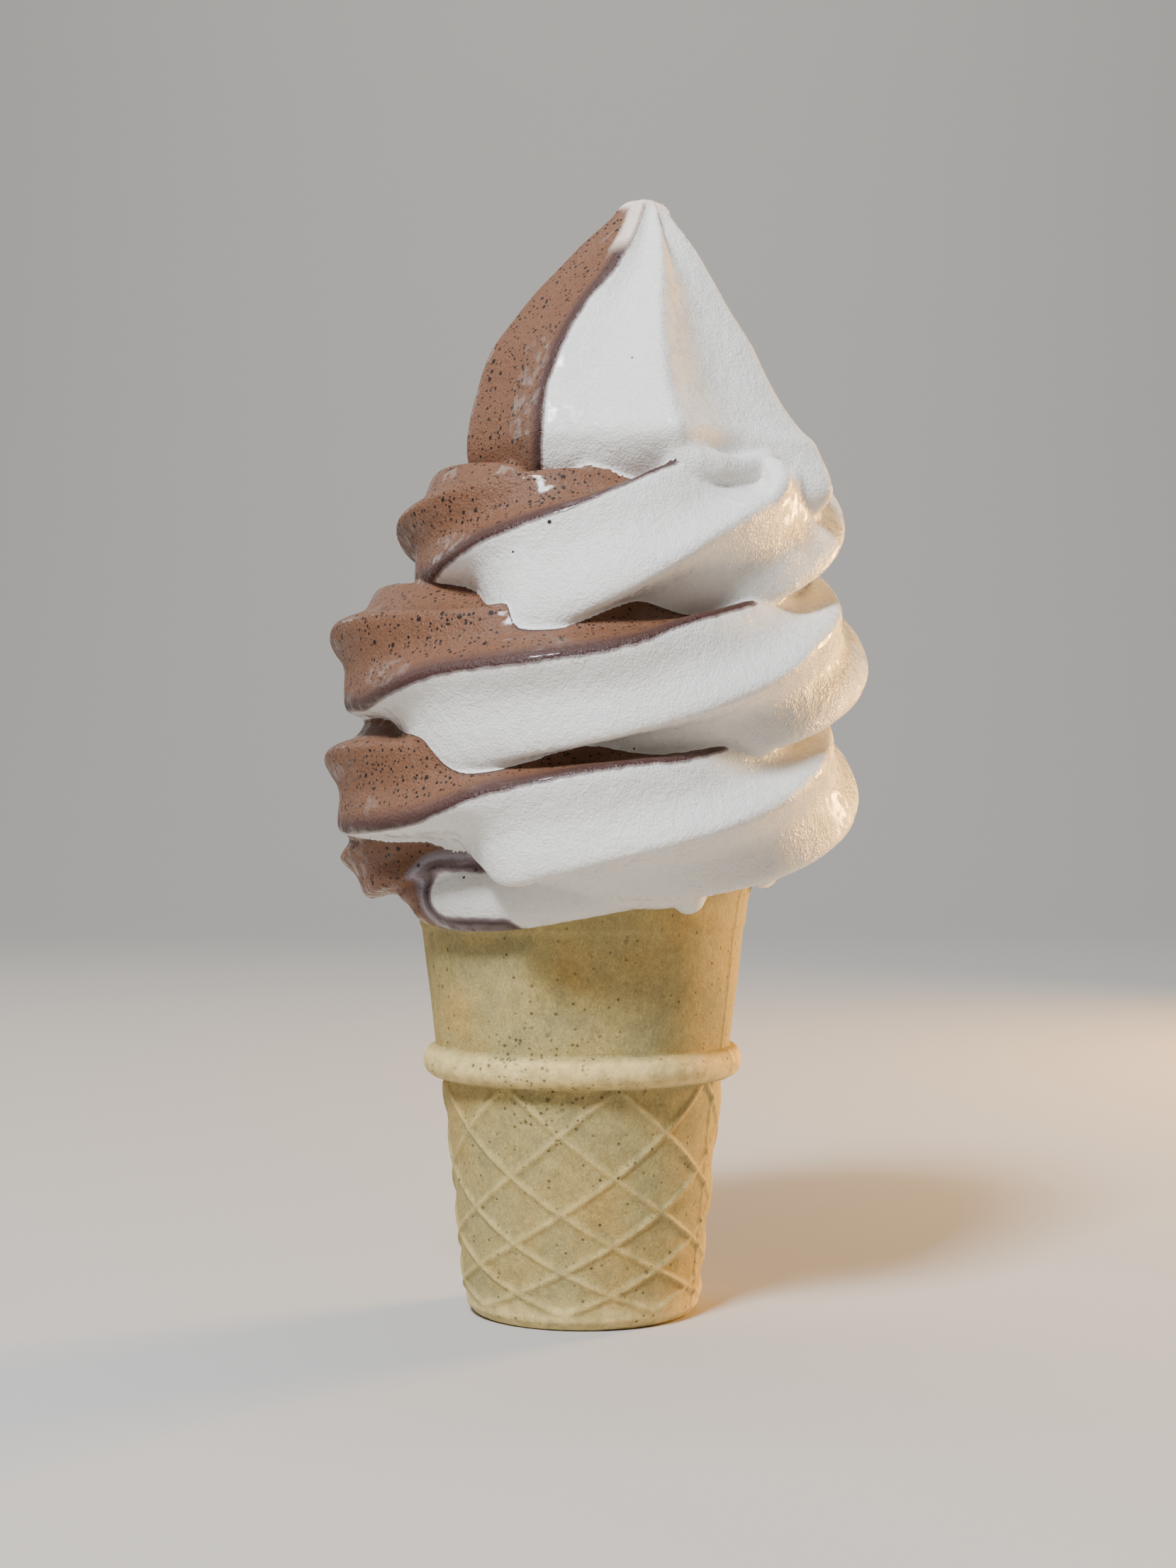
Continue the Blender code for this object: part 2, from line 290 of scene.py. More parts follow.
@dataclass(frozen=True)
class BakedWafer:
    """Wafer batter baked dry in a steel mould: matte, porous and slightly see-through.

    Attributes:
        crumb: the pale baked crumb.
        toast: the warmer, more baked patches.
        ash: the greyer patches, where steam kept the batter pale.
        pale_and_lit: a paler colour on the ribs, and painted light on the ring and the foot, standing in for
            the light they catch.
        pore: the dark of burst pores and freckles.
        patch_size: width of the toasted and the greyer patches.
        mottle_size: width of the crumb's mottling.
        fibre_size: width of the drawn-out grain, drawn a little coarser than life so that it shows.
        fibre_draw: how much longer the drawn-out grain is than wide, as a scale along the height.
        pore_spacing: distance between the cells that may hold a pore.
        grain_depth: how deep the crumb is.
        freckle_centre: where the freckles gather.
        freckle_reach: how far from there they still occur.
    """

    crumb: str = "#B8A468"
    toast: str = "#BE984F"
    ash: str = "#9C9468"
    pale_and_lit: str = "#F1D58F"
    pore: str = "#4E3D25"
    patch_size: float = 13.0 * MM
    mottle_size: float = 2.2 * MM
    fibre_size: float = 0.5 * MM
    fibre_draw: float = 0.65
    pore_spacing: float = 1.35 * MM
    grain_depth: float = 0.2 * MM
    freckle_centre: tuple[float, float, float] = (-7.0 * MM, -25.0 * MM, 39.4 * MM)
    freckle_reach: float = 14.0 * MM

    def material(self) -> bpy.types.Material:
        """Build the wafer's material.

        Returns:
            The finished material.
        """
        made = bpy.data.materials.new("baked_wafer_moulded")
        made.use_nodes = True
        tree = made.node_tree
        shader = tree.nodes["Principled BSDF"]
        place = add(tree, "ShaderNodeTexCoord").outputs["Object"]
        # Three grains: patches from uneven baking, the crumb's mottling and the drawn-out fibres.
        patches = add(
            tree,
            "ShaderNodeTexNoise",
            {"Vector": place, "Scale": 1.0 / self.patch_size, "Detail": 3.0, "Roughness": 0.55},
        )
        mottle = add(
            tree,
            "ShaderNodeTexNoise",
            {"Vector": place, "Scale": 1.0 / self.mottle_size, "Detail": 5.0, "Roughness": 0.65},
        )
        drawn = add(
            tree, "ShaderNodeVectorMath", {0: place, 1: (1.0, 1.0, self.fibre_draw)}, operation="MULTIPLY"
        )
        fibres = add(
            tree,
            "ShaderNodeTexNoise",
            {
                "Vector": drawn.outputs["Vector"],
                "Scale": 1.0 / self.fibre_size,
                "Detail": 4.0,
                "Roughness": 0.62,
                "Distortion": 1.6,
            },
        )
        # Warm where it toasted, greyish where steam kept it pale: the dry, uneven straw colour of wafer.
        warm = add(
            tree,
            "ShaderNodeMapRange",
            {
                "Value": patches.outputs["Fac"],
                "From Min": 0.46,
                "From Max": 0.72,
                "To Min": 0.0,
                "To Max": 0.55,
            },
            interpolation_type="SMOOTHSTEP",
        )
        cool = add(
            tree,
            "ShaderNodeMapRange",
            {
                "Value": patches.outputs["Fac"],
                "From Min": 0.52,
                "From Max": 0.30,
                "To Min": 0.0,
                "To Max": 0.6,
            },
            interpolation_type="SMOOTHSTEP",
        )
        toasted = add(
            tree,
            "ShaderNodeMix",
            {0: warm.outputs[0], 6: linear(self.crumb), 7: linear(self.toast)},
            data_type="RGBA",
        )
        ashen = add(
            tree,
            "ShaderNodeMix",
            {0: cool.outputs[0], 6: toasted.outputs[2], 7: linear(self.ash)},
            data_type="RGBA",
        )
        fleck = add(
            tree,
            "ShaderNodeMapRange",
            {
                "Value": mottle.outputs["Fac"],
                "From Min": 0.36,
                "From Max": 0.66,
                "To Min": 0.84,
                "To Max": 1.1,
            },
        )
        weave = add(
            tree,
            "ShaderNodeMapRange",
            {"Value": fibres.outputs["Fac"], "From Min": 0.3, "From Max": 0.7, "To Min": 0.7, "To Max": 1.24},
        )
        tone = add(tree, "ShaderNodeMath", {0: fleck.outputs[0], 1: weave.outputs[0]}, operation="MULTIPLY")
        crumb = add(
            tree,
            "ShaderNodeMix",
            {0: 1.0, 6: ashen.outputs[2], 7: tone.outputs[0]},
            data_type="RGBA",
            blend_type="MULTIPLY",
        )
        # Painted light: the ring and the foot are painted paler as if lit, and the ribs are painted paler
        # too, patchy with the mottling.
        proud = add(tree, "ShaderNodeAttribute", attribute_name=WaferCone.PROUD).outputs["Fac"]
        pale_and_lit_share = add(
            tree,
            "ShaderNodeMapRange",
            {
                "Value": mottle.outputs["Fac"],
                "From Min": 0.38,
                "From Max": 0.62,
                "To Min": 0.4,
                "To Max": 1.0,
            },
        )
        shown = add(tree, "ShaderNodeMath", {0: proud, 1: pale_and_lit_share.outputs[0]}, operation="MULTIPLY")
        skin = add(
            tree,
            "ShaderNodeMix",
            {0: shown.outputs[0], 6: crumb.outputs[2], 7: linear(self.pale_and_lit)},
            data_type="RGBA",
        )
        pores = self._pores(tree, place, mottle.outputs["Fac"])
        colour = add(
            tree, "ShaderNodeMix", {0: pores, 6: skin.outputs[2], 7: linear(self.pore)}, data_type="RGBA"
        )
        tree.links.new(colour.outputs[2], shader.inputs["Base Color"])
        # Pits and fibres roughen the skin, so that no part of it shines.
        pit = add(tree, "ShaderNodeMath", {0: fibres.outputs["Fac"], 1: pores}, operation="SUBTRACT")
        relief = add(
            tree,
            "ShaderNodeMath",
            {0: mottle.outputs["Fac"], 1: 1.2, 2: pit.outputs[0]},
            operation="MULTIPLY_ADD",
        )
        bump = add(
            tree,
            "ShaderNodeBump",
            {"Height": relief.outputs[0], "Distance": self.grain_depth, "Strength": 0.85},
        )
        tree.links.new(bump.outputs["Normal"], shader.inputs["Normal"])
        dry = add(
            tree,
            "ShaderNodeMapRange",
            {
                "Value": mottle.outputs["Fac"],
                "From Min": 0.3,
                "From Max": 0.7,
                "To Min": 0.62,
                "To Max": 0.82,
            },
        )
        tree.links.new(dry.outputs[0], shader.inputs["Roughness"])
        # Thin wafer glows a little where light comes through from behind.
        shader.inputs["IOR"].default_value = 1.45
        shader.inputs["Specular IOR Level"].default_value = 0.35
        shader.inputs["Subsurface Weight"].default_value = 0.3
        shader.inputs["Subsurface Radius"].default_value = (1.0, 0.62, 0.28)
        shader.inputs["Subsurface Scale"].default_value = 1.6 * MM
        return made

    def _pores(
        self, tree: bpy.types.NodeTree, place: bpy.types.NodeSocket, mottle: bpy.types.NodeSocket
    ) -> bpy.types.NodeSocket:
        """Scattered pores, with a dense freckled patch on the ring.

        Args:
            tree: the material's node tree.
            place: the coordinates.
            mottle: a mid-sized noise that breaks the pores up.

        Returns:
            A socket, 1 in a pore and 0 outside.
        """
        away = add(
            tree, "ShaderNodeVectorMath", {0: place, 1: self.freckle_centre}, operation="DISTANCE"
        )
        near = add(
            tree,
            "ShaderNodeMapRange",
            {
                "Value": away.outputs["Value"],
                "From Min": self.freckle_reach,
                "From Max": 0.0,
                "To Min": 0.0,
                "To Max": 1.0,
            },
            interpolation_type="SMOOTHSTEP",
        )
        found = None
        for spacing, size, share in (
            (self.pore_spacing, 0.25, 0.30),
            (2.4 * self.pore_spacing, 0.17, 0.22),
            (0.6 * self.pore_spacing, 0.45, 0.0),
        ):
            cells = add(
                tree, "ShaderNodeTexVoronoi", {"Vector": place, "Scale": 1.0 / spacing, "Randomness": 1.0}
            )
            chosen = add(tree, "ShaderNodeSeparateColor", {0: cells.outputs["Color"]})
            limit = add(
                tree, "ShaderNodeMath", {0: near.outputs[0], 1: 0.5, 2: share}, operation="MULTIPLY_ADD"
            )
            kept = add(
                tree, "ShaderNodeMath", {0: chosen.outputs[0], 1: limit.outputs[0]}, operation="LESS_THAN"
            )
            spot = add(
                tree,
                "ShaderNodeMapRange",
                {
                    "Value": cells.outputs["Distance"],
                    "From Min": size,
                    "From Max": 0.45 * size,
                    "To Min": 0.0,
                    "To Max": 0.9,
                },
                interpolation_type="SMOOTHSTEP",
            )
            shown = add(
                tree, "ShaderNodeMath", {0: spot.outputs[0], 1: kept.outputs[0]}, operation="MULTIPLY"
            )
            if found is None:
                found = shown.outputs[0]
            else:
                found = add(
                    tree, "ShaderNodeMath", {0: found, 1: shown.outputs[0]}, operation="MAXIMUM"
                ).outputs[0]
        # The mottling fades some pores, so that they don't look printed.
        uneven = add(
            tree,
            "ShaderNodeMapRange",
            {"Value": mottle, "From Min": 0.35, "From Max": 0.6, "To Min": 1.0, "To Max": 0.45},
        )
        return add(tree, "ShaderNodeMath", {0: found, 1: uneven.outputs[0]}, operation="MULTIPLY").outputs[0]


@dataclass(frozen=True)
class TwistSoftServe:
    """Whipped frozen cream drawn through a star nozzle, vanilla beside chocolate: satin and just wet.

    Attributes:
        vanilla: the white half.
        chocolate: the brown half.
        band: how the two bleed into each other, a dark mauve line.
        folded_band: the same where the rope's end folds under, with a lilac bloom outside the dark line.
        warmed: the tip, where the first pull of vanilla smears over both.
        cocoa: flecks of cocoa in the chocolate half.
        seed: vanilla seeds in the white half.
        cocoa_spacing: distance between the finer cocoa flecks.
        seed_spacing: distance between the cells that may hold a seed.
        crystal_size: width of the ice crystals' grain.
        ripple_size: width of the skin's faint ripples, where it starts to melt.
    """

    vanilla: str = "#EBE8E1"
    chocolate: str = "#765039"
    warmed: str = "#F3DDCB"
    cocoa: str = "#1F130E"
    seed: str = "#2B2622"
    band: tuple[tuple[float, str, float], ...] = (
        (-0.95, "#B3A9A9", 0.0),
        (-0.55, "#75625E", 0.85),
        (-0.15, "#452B26", 1.0),
        (1.1, "#4D332C", 1.0),
        (1.8, "#614235", 0.9),
        (3.0, "#6B4732", 0.0),
    )
    folded_band: tuple[tuple[float, str, float], ...] = (
        (-0.5, "#BDB6B8", 0.0),
        (0.1, "#7A6B70", 0.8),
        (0.8, "#46322F", 1.0),
        (1.6, "#665759", 1.0),
        (2.4, "#958B92", 1.0),
        (3.2, "#7D6E70", 0.9),
        (4.0, "#5B4035", 0.0),
    )
    cocoa_spacing: float = 0.74 * MM
    seed_spacing: float = 6.2 * MM
    crystal_size: float = 0.42 * MM
    ripple_size: float = 2.4 * MM

    def material(self) -> bpy.types.Material:
        """Build the soft serve's material, which reads the swirl's flavour attribute.

        Returns:
            The finished material.
        """
        made = bpy.data.materials.new("twist_soft_serve_whipped")
        made.use_nodes = True
        tree = made.node_tree
        shader = tree.nodes["Principled BSDF"]
        place = add(tree, "ShaderNodeTexCoord").outputs["Object"]
        flavour = add(tree, "ShaderNodeAttribute", attribute_name=Swirl.FLAVOUR).outputs["Fac"]
        tip = add(tree, "ShaderNodeAttribute", attribute_name=Swirl.TIP).outputs["Fac"]
        # Fine ice crystals and broader ripples, which the wet patches follow.
        crystals = add(
            tree,
            "ShaderNodeTexNoise",
            {"Vector": place, "Scale": 1.0 / self.crystal_size, "Detail": 2.0, "Roughness": 0.6},
        )
        ripple = add(
            tree,
            "ShaderNodeTexNoise",
            {"Vector": place, "Scale": 1.0 / self.ripple_size, "Detail": 4.0, "Roughness": 0.6},
        )
        # The flavours' meeting line wavers a little, and bleeds to a dark band.
        ragged = add(
            tree,
            "ShaderNodeMapRange",
            {
                "Value": ripple.outputs["Fac"],
                "From Min": 0.25,
                "From Max": 0.75,
                "To Min": -0.18 * MM,
                "To Max": 0.18 * MM,
            },
        )
        side = add(tree, "ShaderNodeMath", {0: flavour, 1: ragged.outputs[0]}, operation="ADD").outputs[0]
        fold = add(tree, "ShaderNodeAttribute", attribute_name=Swirl.FOLD).outputs["Fac"]
        edge = self._band(tree, side, self.band)
        folded = self._band(tree, side, self.folded_band)
        # Cocoa flecks pepper the chocolate and stray into the band; vanilla seeds are few and far apart.
        seeds = self._flecks(tree, place, self.seed_spacing, 0.042, 0.45)
        cocoa_fine = self._flecks(tree, place, self.cocoa_spacing, 0.30, 0.66)
        cocoa_large = self._flecks(tree, place, 2.3 * self.cocoa_spacing, 0.20, 0.62)
        cocoa = add(tree, "ShaderNodeMath", {0: cocoa_fine, 1: cocoa_large}, operation="MAXIMUM").outputs[0]
        brown_tone = add(
            tree,
            "ShaderNodeMapRange",
            {
                "Value": crystals.outputs["Fac"],
                "From Min": 0.3,
                "From Max": 0.7,
                "To Min": 0.86,
                "To Max": 1.1,
            },
        )
        brown = add(
            tree,
            "ShaderNodeMix",
            {0: 1.0, 6: linear(self.chocolate), 7: brown_tone.outputs[0]},
            data_type="RGBA",
            blend_type="MULTIPLY",
        )
        speckled = add(
            tree, "ShaderNodeMix", {0: cocoa, 6: brown.outputs[2], 7: linear(self.cocoa)}, data_type="RGBA"
        )
        white = add(
            tree, "ShaderNodeMix", {0: seeds, 6: linear(self.vanilla), 7: linear(self.seed)}, data_type="RGBA"
        )
        line = add(tree, "ShaderNodeMix", {0: fold, 6: edge[0], 7: folded[0]}, data_type="RGBA")
        cover = add(tree, "ShaderNodeMix", {0: fold, 2: edge[1], 3: folded[1]})
        in_chocolate = add(
            tree, "ShaderNodeMapRange", {"Value": side, "From Min": -0.1 * MM, "From Max": 0.3 * MM}
        )
        plain = add(
            tree,
            "ShaderNodeMix",
            {0: in_chocolate.outputs[0], 6: white.outputs[2], 7: speckled.outputs[2]},
            data_type="RGBA",
        )
        sparse = add(tree, "ShaderNodeMath", {0: cocoa_large, 1: 0.8}, operation="MULTIPLY")
        spotted = add(
            tree,
            "ShaderNodeMix",
            {0: sparse.outputs[0], 6: line.outputs[2], 7: linear(self.cocoa)},
            data_type="RGBA",
        )
        twist = add(
            tree,
            "ShaderNodeMix",
            {0: cover.outputs[0], 6: plain.outputs[2], 7: spotted.outputs[2]},
            data_type="RGBA",
        )
        colour = add(
            tree, "ShaderNodeMix", {0: tip, 6: twist.outputs[2], 7: linear(self.warmed)}, data_type="RGBA"
        )
        tree.links.new(colour.outputs[2], shader.inputs["Base Color"])
        # A satin skin with crystals too fine to see singly, glossier where it has begun to melt.
        relief = add(
            tree,
            "ShaderNodeMath",
            {0: ripple.outputs["Fac"], 1: 1.6, 2: crystals.outputs["Fac"]},
            operation="MULTIPLY_ADD",
        )
        bump = add(
            tree, "ShaderNodeBump", {"Height": relief.outputs[0], "Distance": 0.34 * MM, "Strength": 0.8}
        )
        tree.links.new(bump.outputs["Normal"], shader.inputs["Normal"])
        wet = add(
            tree,
            "ShaderNodeMapRange",
            {
                "Value": ripple.outputs["Fac"],
                "From Min": 0.42,
                "From Max": 0.60,
                "To Min": 0.44,
                "To Max": 0.2,
            },
        )
        satin = add(
            tree,
            "ShaderNodeMix",
            {0: in_chocolate.outputs[0], 2: wet.outputs[0], 3: 0.5},
        )
        tree.links.new(satin.outputs[0], shader.inputs["Roughness"])
        melt = add(
            tree,
            "ShaderNodeMapRange",
            {
                "Value": ripple.outputs["Fac"],
                "From Min": 0.48,
                "From Max": 0.62,
                "To Min": 0.0,
                "To Max": 0.7,
            },
        )
        tree.links.new(melt.outputs[0], shader.inputs["Coat Weight"])
        shader.inputs["Coat Roughness"].default_value = 0.1
        shader.inputs["Coat IOR"].default_value = 1.33
        shader.inputs["IOR"].default_value = 1.38
        # Light sinks into the vanilla, which looks soft and cold; the chocolate stays closed.
        clear = add(
            tree,
            "ShaderNodeMapRange",
            {"Value": side, "From Min": -1.5 * MM, "From Max": 0.5 * MM, "To Min": 0.42, "To Max": 0.05},
        )
        tree.links.new(clear.outputs[0], shader.inputs["Subsurface Weight"])
        shader.inputs["Subsurface Radius"].default_value = (1.0, 0.82, 0.62)
        shader.inputs["Subsurface Scale"].default_value = 0.8 * MM
        return made

    def _band(
        self,
        tree: bpy.types.NodeTree,
        side: bpy.types.NodeSocket,
        stops: tuple[tuple[float, str, float], ...],
    ) -> tuple[bpy.types.NodeSocket, bpy.types.NodeSocket]:
        """The band where the two flavours bleed into each other.

        Args:
            tree: the material's node tree.
            side: signed distance from the flavours' meeting line, in metres.
            stops: rows of distance in millimetres, colour and how much the band covers.

        Returns:
            The band's colour and its cover, as two sockets.
        """
        low, high = stops[0][0], stops[-1][0]
        spread = add(
            tree, "ShaderNodeMapRange", {"Value": side, "From Min": low * MM, "From Max": high * MM}
        )
        ramp = add(tree, "ShaderNodeValToRGB", {"Fac": spread.outputs[0]})
        ramp.color_ramp.interpolation = "EASE"
        for index, (place, colour, cover) in enumerate(stops):
            where = (place - low) / (high - low)
            if 0 < index < len(stops) - 1:
                stop = ramp.color_ramp.elements.new(where)
            else:
                stop = ramp.color_ramp.elements[0 if index == 0 else -1]
            stop.position = where
            stop.color = linear(colour, cover)
        return ramp.outputs["Color"], ramp.outputs["Alpha"]

    def _flecks(
        self,
        tree: bpy.types.NodeTree,
        place: bpy.types.NodeSocket,
        spacing: float,
        size: float,
        share: float,
    ) -> bpy.types.NodeSocket:
        """Round flecks scattered through the cream.

        Args:
            tree: the material's node tree.
            place: the coordinates.
            spacing: distance between cells, in metres.
            size: a fleck's radius as a share of the spacing.
            share: the share of the cells that hold a fleck.

        Returns:
            A socket, 1 in a fleck and 0 outside.
        """
        cells = add(
            tree, "ShaderNodeTexVoronoi", {"Vector": place, "Scale": 1.0 / spacing, "Randomness": 1.0}
        )
        drawn = add(tree, "ShaderNodeSeparateColor", {0: cells.outputs["Color"]})
        kept = add(tree, "ShaderNodeMath", {0: drawn.outputs[0], 1: share}, operation="LESS_THAN")
        varied = add(
            tree, "ShaderNodeMath", {0: drawn.outputs[1], 1: size, 2: 0.6 * size}, operation="MULTIPLY_ADD"
        )
        inner = add(tree, "ShaderNodeMath", {0: varied.outputs[0], 1: 0.6}, operation="MULTIPLY")
        spot = add(
            tree,
            "ShaderNodeMapRange",
            {"Value": cells.outputs["Distance"], "From Min": varied.outputs[0], "From Max": inner.outputs[0]},
            interpolation_type="SMOOTHSTEP",
        )
        return add(
            tree, "ShaderNodeMath", {0: spot.outputs[0], 1: kept.outputs[0]}, operation="MULTIPLY"
        ).outputs[0]


@dataclass(frozen=True)
class StudioPaper:
    """A sweep of matte paper behind and under the cone.

    Attributes:
        colour: the paper, a cool light grey.
    """

    colour: str = "#BAB7B2"

    def material(self) -> bpy.types.Material:
        """Build the paper's material.

        Returns:
            The finished material.
        """
        made = bpy.data.materials.new("studio_paper_matte")
        made.use_nodes = True
        shader = made.node_tree.nodes["Principled BSDF"]
        shader.inputs["Base Color"].default_value = linear(self.colour)
        shader.inputs["Roughness"].default_value = 0.9
        shader.inputs["Specular IOR Level"].default_value = 0.2
        return made


# ---------------------------------------------------------------- the wafer cone


@dataclass
class WaferCone:
    """The moulded wafer: flat base, lattice wall, ring, plain wall and flared collar.

    Attributes:
        height: from the base to the rim.
        collar_radius: outside of the flared rim.
        base_radius: radius of the flat base.
        foot_radius: radius of the foot band.
        foot_height: height of the foot band.
        lattice_top_radius: radius of the tapered part just under the ring.
        ring_height: height of the middle of the ring.
        ring_radius: radius of the ring.
        ring_half_width: half the height of the ring.
        cup_radius: radius of the cup just above the ring.
        cup_top_radius: radius of the cup just under the collar.
        collar_height: height at which the collar starts.
        collar_step: how far the collar stands out there.
        wall: thickness of the wafer.
        floor: height of the inside floor.
        turn_steps: faces round the shell.
        row: height of a face on the outside.
        rib_count: ribs of each hand.
        rib_height: how far the ribs stand out.
        rib_half_width: half the width of a rib.
        rib_paleness: how much paler the ribs are painted.
        foot_light_share: how much painted light the foot gets.
        ring_light_span: shares of the ring's half height over which its painted light fades out.
        foot_light_span: shares of the foot's height over which its painted light fades out.
        rib_fade_foot: heights over which the ribs rise, from the lattice's lower end.
        rib_fade_ring: heights over which they fade, from its upper end.
        lip_rounding: inset and drop of the rim's rounded corner, in millimetres.
        flare: how far the collar stands out below the rim, from the cup's top.
        flare_drop: how far below the rim that is.
        step_rise: height of the collar's step above where it starts.
        step_drop: how far below that the cup's top lies.
        foot_taper: how much the foot narrows downwards.
        foot_taper_share: height of the narrowed place as a share of the foot.
        base_rounding: distance out and height of the base's corner, in millimetres.
        bead_steps: faces over the ring's bead.
        bead_squareness: power of the bead's curve, below one for a squarer bead.
        first_crossing: azimuth of a crossing of two ribs.
        row_base: first number of the rule that sets the height of each row of crossings.
        row_scale: second number of that rule.
        row_ratio: how much smaller each lower row is.
        lattice_bottom: height of the lattice's lower end.
        seam_azimuth: azimuth of the mould's seam; the other is opposite.
        seam_height: how far the seams stand out.
        seam_half_width: half the width of a seam.
        unevenness: how far the wafer strays from a true cone.
        sag_size: width of those waves.
        sag_from: height above which they start.
        sag_full: height above which they are full.
        finish: the wafer's material.
    """

    PROUD = "proud"

    height: float
    collar_radius: float
    base_radius: float = 17.7 * MM
    foot_radius: float = 19.2 * MM
    foot_height: float = 4.4 * MM
    lattice_top_radius: float = 22.7 * MM
    ring_height: float = 40.8 * MM
    ring_radius: float = 26.0 * MM
    ring_half_width: float = 2.6 * MM
    cup_radius: float = 24.1 * MM
    cup_top_radius: float = 26.3 * MM
    collar_height: float = 62.5 * MM
    collar_step: float = 0.35 * MM
    wall: float = 1.8 * MM
    floor: float = 2.2 * MM
    turn_steps: int = 400
    row: float = 0.40 * MM
    rib_count: int = 8
    rib_height: float = 0.45 * MM
    rib_half_width: float = 0.45 * MM
    rib_paleness: float = 0.35
    foot_light_share: float = 0.9
    ring_light_span: tuple[float, float] = (0.6, 1.0)
    foot_light_span: tuple[float, float] = (0.5, 1.3)
    rib_fade_foot: tuple[float, float] = (-0.6 * MM, 0.9 * MM)
    rib_fade_ring: tuple[float, float] = (-1.0 * MM, 0.4 * MM)
    lip_rounding: tuple[tuple[float, float], ...] = ((0.9, 0.0), (0.25, 0.35), (0.0, 1.3))
    flare: float = 0.75 * MM
    flare_drop: float = 4.2 * MM
    step_rise: float = 0.5 * MM
    step_drop: float = 0.3 * MM
    foot_taper: float = 0.3 * MM
    foot_taper_share: float = 0.35
    base_rounding: tuple[tuple[float, float], ...] = ((0.25, 0.4), (-0.4, 0.0))
    bead_steps: int = 14
    bead_squareness: float = 0.8
    first_crossing: float = math.radians(261.0)
    row_base: float = 16.0
    row_scale: float = 46.9
    row_ratio: float = 0.857
    lattice_bottom: float = 2.6 * MM
    seam_azimuth: float = math.radians(337.0)
    seam_height: float = 0.22 * MM
    seam_half_width: float = 0.45 * MM
    unevenness: float = 0.22 * MM
    sag_size: float = 14.0 * MM
    sag_from: float = 1.0 * MM
    sag_full: float = 8.0 * MM
    finish: BakedWafer = field(default_factory=BakedWafer)

    def corners(self) -> list[tuple[float, float]]:
        """Outside of the cone from the rim down to the base.

        Returns:
            Rows of radius and height.
        """
        lip = [
            (self.collar_radius - inset * MM, self.height - drop * MM) for inset, drop in self.lip_rounding
        ]
        turns = [math.pi * (0.5 - step / self.bead_steps) for step in range(self.bead_steps + 1)]
        base = [(self.base_radius + out * MM, rise * MM) for out, rise in self.base_rounding]
        return [
            *lip,
            (self.cup_top_radius + self.flare, self.height - self.flare_drop),
            (self.cup_top_radius + self.collar_step, self.collar_height + self.step_rise),
            (self.cup_top_radius, self.collar_height - self.step_drop),
            *[self._bead_point(turn) for turn in turns],
            (self.foot_radius, self.foot_height),
            (self.foot_radius - self.foot_taper, self.foot_taper_share * self.foot_height),
            *base,
        ]

    def _bead_point(self, turn: float) -> tuple[float, float]:
        """A point of the ring's bead.

        Args:
            turn: angle up from straight out.

        Returns:
            Its radius and height.
        """
        root = self.cup_radius if turn > 0.0 else self.lattice_top_radius
        swell = max(math.cos(turn), 0.0) ** self.bead_squareness
        height = self.ring_height + self.ring_half_width * math.sin(turn)
        return root + (self.ring_radius - root) * swell, height

    def profile(self) -> list[tuple[float, float, bool]]:
        """The whole section from the floor's middle over the rim to the base's middle.

        Returns:
            Rows of radius, height and whether the point is on the outside.
        """
        inside = [
            (0.0, self.floor),
            (self.foot_radius - self.wall - 1.0 * MM, self.floor),
            (self.foot_radius - self.wall, self.floor + 0.8 * MM),
            (self.lattice_top_radius - self.wall, self.ring_height - self.ring_half_width),
            (self.cup_radius - self.wall, self.ring_height + self.ring_half_width),
            (self.collar_radius - self.wall - 0.2 * MM, self.height - 0.5 * MM),
            (self.collar_radius - self.wall + 0.15 * MM, self.height - 0.1 * MM),
        ]
        rows = [(radius, height, False) for radius, height in inside]
        outside = self.corners()
        for (r0, z0), (r1, z1) in zip(outside, outside[1:]):
            count = max(1, round(math.hypot(r1 - r0, z1 - z0) / self.row))
            for step in range(count):
                share = step / count
                rows.append((r0 + share * (r1 - r0), z0 + share * (z1 - z0), True))
        rows.append((*outside[-1], True))
        rows.append((0.0, 0.0, False))
        return rows

    def lattice(self, angle: np.ndarray, radius: np.ndarray, height: np.ndarray) -> np.ndarray:
        """The crossing ribs below the ring.

        Args:
            angle: azimuth of each point.
            radius: its distance from the axis.
            height: its height.

        Returns:
            The share of a rib's height at each point.
        """
        ribs = np.zeros_like(angle)
        pitch = 2.0 * math.pi / self.rib_count
        above = np.maximum(height / MM, 0.0) + self.row_base
        rows = np.log(above / self.row_scale) / math.log(self.row_ratio)
        climb = 0.5 * pitch / (math.log(1.0 / self.row_ratio) * above * MM)
        for hand in Hand:
            phase = (angle - self.first_crossing) / pitch - hand.value * 0.5 * rows
            away = np.abs(phase - np.round(phase)) * pitch * radius / np.sqrt(1.0 + (climb * radius) ** 2)
            ribs = np.maximum(ribs, np.exp(-((away / self.rib_half_width) ** 2)))
        lattice_top = self.ring_height - self.ring_half_width
        low = self.lattice_bottom
        above_foot = eased(height - low, *self.rib_fade_foot)
        below_ring = 1.0 - eased(height - lattice_top, *self.rib_fade_ring)
        return ribs * above_foot * below_ring

    def seams(self, angle: np.ndarray, radius: np.ndarray) -> np.ndarray:
        """The fine ridges where the mould's halves met.

        Args:
            angle: azimuth of each point.
            radius: its distance from the axis.

        Returns:
            The share of a seam's height at each point.
        """
        found = np.zeros_like(angle)
        for side in (0.0, math.pi):
            turn = np.angle(np.exp(1j * (angle - self.seam_azimuth - side)))
            found += np.exp(-((turn * radius / self.seam_half_width) ** 2))
        return found

